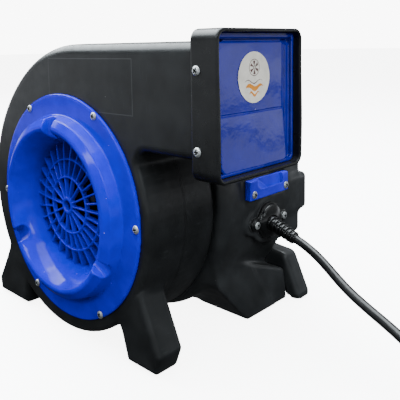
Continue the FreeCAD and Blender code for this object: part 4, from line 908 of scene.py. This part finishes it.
def make_screws():
    points, quads = field_surface(screw_head_field, (-5.0, -5.0, 0.0), (5.0, 5.0, 3.6), 0.36)
    # points in the cross recess, which the screw material colours with painted shade
    wide, tall = np.abs(points[:, 0]), np.abs(points[:, 1])
    in_cross = np.minimum(np.maximum(wide - 0.9, tall - 2.6), np.maximum(tall - 0.9, wide - 2.6))
    recess = (in_cross < 0.0) & (points[:, 2] > 0.5)
    groups = {
        "intake_screws": ring_of_screws(INTAKE_PITCH, 0.0, -1, range(0, 360, 60)),
        "collar_screws": [((COLLAR_SCREW_X, y, z), (0, side, 0))
                          for y, side in ((0.0, -1), (COLLAR_DEEP, 1))
                          for z in COLLAR_SCREW_LEVELS],
        "bracket_screws": [((BRACKET_FACE, y, 11.0), (1, 0, 0)) for y in (157.5, 223.0)],
        "gland_screws": [((164.2, GLAND_Y + side * GLAND_LOBE, GLAND_Z), (1, 0, 0))
                         for side in (-1, 1)],
        "cover_screws": ring_of_screws(COVER_PITCH, 284.0, 1, range(45, 360, 90)),
    }
    chance = np.random.default_rng(7)
    for name, places in groups.items():
        all_points, all_quads = [], []
        for index, (at, way) in enumerate(places):
            turn = Matrix.Rotation(chance.uniform(0.0, math.pi), 3, "Z")
            stand = Vector(way).to_track_quat("Z", "Y").to_matrix() @ turn
            moved = points @ np.array(stand).T + np.array(at)
            all_quads.append(quads + index * len(points))
            all_points.append(moved)
        mesh = mesh_from(name, np.concatenate(all_points), np.concatenate(all_quads))
        mark = mesh.attributes.new("recess", "FLOAT", "POINT")
        mark.data.foreach_set("value", np.tile(recess, len(places)).astype(np.float32))
        piece(name + "_heads", mesh, SCREW_ZINC, "housing", "zinc_steel", name)


# -------------------------------------------------------------------- rear and rest

def cover_field(x, y, z):
    out = around(x, z)
    shell = rounded(8.0, out - 126.0, between(y, 266.1, 284.0))
    dish = np.maximum(between(out, 82.0, 104.0), 282.4 - y)
    shell = carve(shell, dish, 2.0)
    hollow = np.maximum(out - 122.0, y - 280.5)
    opening = out - 62.0
    return carve(shell, np.minimum(hollow, opening), 0.6)


def vent_field(x, y, z):
    out = around(x, z)
    rim = rounded(1.5, between(out, 58.0, 72.0), between(y, 284.1, 289.2))
    pitch = 10.5
    level = (z + pitch / 2.0) % pitch - pitch / 2.0
    slat = rounded(0.8, np.abs(level + (y - 286.5) * 0.5) - 1.7, between(y, 284.3, 288.4),
                   out - 60.0)
    spine = rounded(0.8, np.abs(x) - 3.0, between(y, 284.3, 288.6), out - 60.0)
    return join(join(rim, slat, 1.0), spine, 1.0)


PLUG_START = np.array((474.0, 116.0, -147.0))
PLUG_WAY = np.array((0.97, -0.24, 0.0))
PLUG_WAY = PLUG_WAY / np.linalg.norm(PLUG_WAY)


def plug_field(x, y, z):
    run, off = along_line(x, y, z, PLUG_START, PLUG_WAY)
    neck = rounded(1.0, off - (7.2 + 0.11 * run), between(run, 0.1, 18.0))
    grip = rounded(3.0, off - (9.0 + 4.0 * ramp(run, 14.0, 34.0)), between(run, 14.0, 44.5))
    body = join(neck, grip, 4.0)
    for i in range(4):
        groove = around(run - (4.0 + 3.2 * i), off - 9.0 - 0.3 * i) - 1.1
        body = carve(body, groove, 0.5)
    flats = between(z, PLUG_START[2] - 11.5, PLUG_START[2] + 11.5)
    body = trim(body, flats, 2.0)
    return body


def make_rear():
    field_piece("rear_cap", cover_field, (-127.0, 265.0, -127.0), (127.0, 286.0, 127.0), 1.7,
                MOTOR_BLACK, "housing", "black_plastic", "rear_cover")
    field_piece("vent_grille", vent_field, (-73.0, 284.0, -73.0), (73.0, 290.0, 73.0), 1.0,
                COLLAR_BLACK, "housing", "black_gloss", "rear_vent")
    field_piece("plug_shell", plug_field, (470.0, 90.0, -162.0), (522.0, 132.0, -132.0), 0.9,
                RUBBER, "housing", "black_rubber", "plug_body")


def dress_cad():
    """Gives every CAD node that stays on show its own material."""
    looks = {
        "power_cord": RUBBER, "motor_lead": RUBBER, "foot_pads": FOOT_RUBBER,
        "gland_gasket": FOOT_RUBBER, "body_gasket": FOOT_RUBBER, "plug_pins": BRASS,
        "flap_pin": STEEL, "vent_screws": ZINC, "plate_screws": ZINC, "motor_plate": DULL_ZINC,
        "impeller_washer": DULL_ZINC, "impeller_nut": DULL_ZINC, "through_bolts": ZINC,
        "bolt_nuts": ZINC, "capacitor_clip": ZINC, "terminal_rail": ZINC,
        "motor_shaft": DULL_ZINC, "bearing_inner_rings": BRIGHT, "bearing_outer_rings": BRIGHT,
        "bearing_balls": BRIGHT,
        "impeller": plain_look("black_nylon", (0.006, 0.006, 0.007), 0.5),
        "cooling_fan": plain_look("fan_nylon", (0.30, 0.31, 0.32), 0.5),
        "motor_shell": plain_look("motor_paint", (0.05, 0.055, 0.06), 0.4),
        "front_end_shield": plain_look("cast_front", (0.5, 0.51, 0.52), 0.42, 1.0, 0.9, 0.2),
        "rear_end_shield": plain_look("cast_rear", (0.5, 0.51, 0.52), 0.42, 1.0, 0.9, 0.2),
        "rotor_core": plain_look("rotor_steel", (0.22, 0.22, 0.23), 0.4, 1.0),
        "stator_core": plain_look("stator_steel", (0.25, 0.25, 0.26), 0.4, 1.0),
        "stator_windings": plain_look("varnished_copper", (0.45, 0.16, 0.05), 0.3, 0.7),
        "capacitor": plain_look("capacitor_can", (0.75, 0.75, 0.72), 0.4),
        "terminal_block": plain_look("terminal_nylon", (0.7, 0.68, 0.6), 0.45),
    }
    for name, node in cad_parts.items():
        if node.hide_render:
            continue
        node.data.materials.clear()
        node.data.materials.append(looks[name])


# ---------------------------------------------------------------------- the stage

def stage_look():
    """Pale to the camera. Its reflections show soft light and dark bands further out."""
    look = Look("stage_pale")
    nodes, links = look.nodes, look.links
    look.finish((0.80, 0.80, 0.80, 1.0), 0.8, Specular_IOR_Level=0.0)
    glow = look.add("ShaderNodeEmission")
    glow.inputs["Strength"].default_value = FLOOR_GLOW
    camera_side = look.add("ShaderNodeAddShader")
    links.new(look.shader.outputs[0], camera_side.inputs[0])
    links.new(glow.outputs[0], camera_side.inputs[1])
    far = look.add("ShaderNodeVectorMath", operation="LENGTH")
    links.new(look.place, far.inputs[0])
    wavy = look.maths("ADD", far.outputs["Value"],
                      look.maths("MULTIPLY", look.noise(700.0, 2.0), 700.0))
    bands = look.add("ShaderNodeValToRGB")
    links.new(look.remap(wavy, 0.0, 9000.0, 0.0, 1.0), bands.inputs["Fac"])
    bands.color_ramp.interpolation = "EASE"
    fill_ramp(bands, FLOOR_BANDS)
    mirror_side = look.add("ShaderNodeEmission")
    mirror_side.inputs["Strength"].default_value = MIRROR_GLOW
    links.new(bands.outputs["Color"], mirror_side.inputs["Color"])
    chosen = look.add("ShaderNodeMixShader")
    seen = look.add("ShaderNodeLightPath")
    links.new(seen.outputs["Is Camera Ray"], chosen.inputs[0])
    links.new(mirror_side.outputs[0], chosen.inputs[1])
    links.new(camera_side.outputs[0], chosen.inputs[2])
    links.new(chosen.outputs[0], nodes["Material Output"].inputs["Surface"])
    return look.material


def fill_ramp(node, stops):
    """Sets a colour ramp to a list of (place, grey level)."""
    marks = node.color_ramp.elements
    marks[0].position, marks[1].position = stops[0][0], stops[-1][0]
    for place, _ in stops[1:-1]:
        marks.new(place)
    for mark, (_, level) in zip(marks, stops):
        mark.color = (level * 0.96, level, level * 1.05, 1.0)


FLOOR_GLOW = 6.6
FLOOR_BANDS = [(0.0, 0.03), (0.17, 0.05), (0.25, 0.75), (0.33, 0.80), (0.37, 0.10), (0.43, 0.14),
               (0.51, 1.0), (1.0, 1.0)]
MIRROR_GLOW = 1.6
SKY_BANDS = [(0.0, 0.15), (0.47, 1.0), (0.52, 1.0), (0.57, 0.22), (0.75, 0.28), (0.87, 1.0),
             (1.0, 1.0)]
BACKDROP = 9.0


def make_stage():
    bpy.ops.mesh.primitive_plane_add(size=60.0, location=(0.0, 0.0, FLOOR))
    floor = bpy.context.object
    floor.name = "stage_floor"
    floor.data.materials.append(stage_look())

    world = bpy.data.worlds.new("studio")
    bpy.context.scene.world = world
    world.use_nodes = True
    nodes, links = world.node_tree.nodes, world.node_tree.links
    back = nodes["Background"]
    coord = nodes.new("ShaderNodeTexCoord")
    split = nodes.new("ShaderNodeSeparateXYZ")
    sky = nodes.new("ShaderNodeValToRGB")
    links.new(coord.outputs["Generated"], split.inputs[0])
    lift = nodes.new("ShaderNodeMapRange")
    lift.inputs["From Min"].default_value = -1.0
    lift.inputs["From Max"].default_value = 1.0
    links.new(split.outputs["Z"], lift.inputs["Value"])
    links.new(lift.outputs[0], sky.inputs["Fac"])
    fill_ramp(sky, SKY_BANDS)
    path = nodes.new("ShaderNodeLightPath")
    pick = nodes.new("ShaderNodeMix")
    pick.data_type = "RGBA"
    links.new(path.outputs["Is Camera Ray"], pick.inputs["Factor"])
    links.new(sky.outputs["Color"], pick.inputs[6])
    pick.inputs[7].default_value = (BACKDROP, BACKDROP, BACKDROP, 1.0)
    links.new(pick.outputs[2], back.inputs["Color"])
    back.inputs["Strength"].default_value = 1.0

    def lamp(name, place, aim, size, power, mirrored=True):
        data = bpy.data.lights.new(name, "AREA")
        data.shape = "RECTANGLE"
        data.size, data.size_y = size
        data.energy = power
        data.color = (0.88, 0.96, 1.0)
        obj = bpy.data.objects.new(name, data)
        bpy.context.scene.collection.objects.link(obj)
        obj.location = place
        obj.visible_glossy = mirrored
        way = Vector(aim) - Vector(place)
        obj.rotation_euler = way.to_track_quat("-Z", "Y").to_euler()

    lamp("sky_panel", (-0.2, 0.1, 1.9), (0.05, 0.1, 0.0), (2.4, 2.0), 130.0)
    lamp("left_panel", (-2.2, -0.1, 2.1), (0.0, 0.1, 0.1), (2.8, 2.0), 215.0)
    lamp("right_panel", (2.3, -0.5, 1.3), (0.1, 0.15, 0.0), (1.4, 1.2), 92.0, mirrored=False)
    lamp("window_panel", (2.1, -1.3, 1.9), (0.1, 0.1, 0.0), (0.5, 0.9), 20.0)
    lamp("front_panel", (0.0, -2.4, 1.5), (0.0, 0.0, 0.0), (0.8, 0.6), 32.0)


CAMERA_PLACE = (0.5671, -0.3747, 0.1902)
CAMERA_YAW, CAMERA_PITCH, CAMERA_ROLL = 44.52, 6.01, -1.05
CAMERA_LENS, SENSOR = 50.9, 36.0
CAMERA_SHIFT = (0.0519, -0.2373)


def make_camera():
    """Camera of the photograph. Its lens shift goes to zero when it is moved elsewhere."""
    data = bpy.data.cameras.new("camera")
    data.lens, data.sensor_width = CAMERA_LENS, SENSOR
    data.clip_start = 0.01
    cam = bpy.data.objects.new("camera", data)
    bpy.context.scene.collection.objects.link(cam)
    yaw, pitch = math.radians(CAMERA_YAW), math.radians(CAMERA_PITCH)
    ahead = Vector((-math.sin(yaw) * math.cos(pitch), math.cos(yaw) * math.cos(pitch),
                    -math.sin(pitch)))
    right = ahead.cross(Vector((0, 0, 1))).normalized()
    up = right.cross(ahead)
    roll = math.radians(CAMERA_ROLL)
    right, up = (right * math.cos(roll) + up * math.sin(roll),
                 up * math.cos(roll) - right * math.sin(roll))
    cam.matrix_world = Matrix.Translation(CAMERA_PLACE) @ Matrix(
        (right, up, -ahead)).transposed().to_4x4()
    for prop, shift in zip(("shift_x", "shift_y"), CAMERA_SHIFT):
        setattr(data, prop, shift)
        driver = data.driver_add(prop).driver
        driver.type = "SCRIPTED"
        moved = driver.variables.new()
        moved.name = "x"
        moved.targets[0].id = cam
        moved.targets[0].data_path = "location[0]"
        driver.expression = f"{shift} if abs(x - {CAMERA_PLACE[0]}) < 0.0005 else 0.0"
    bpy.context.scene.camera = cam


make_scroll()
make_motor_housing()
make_ring()
make_outlet()
make_entry()
make_screws()
make_rear()
dress_cad()
make_stage()
make_camera()
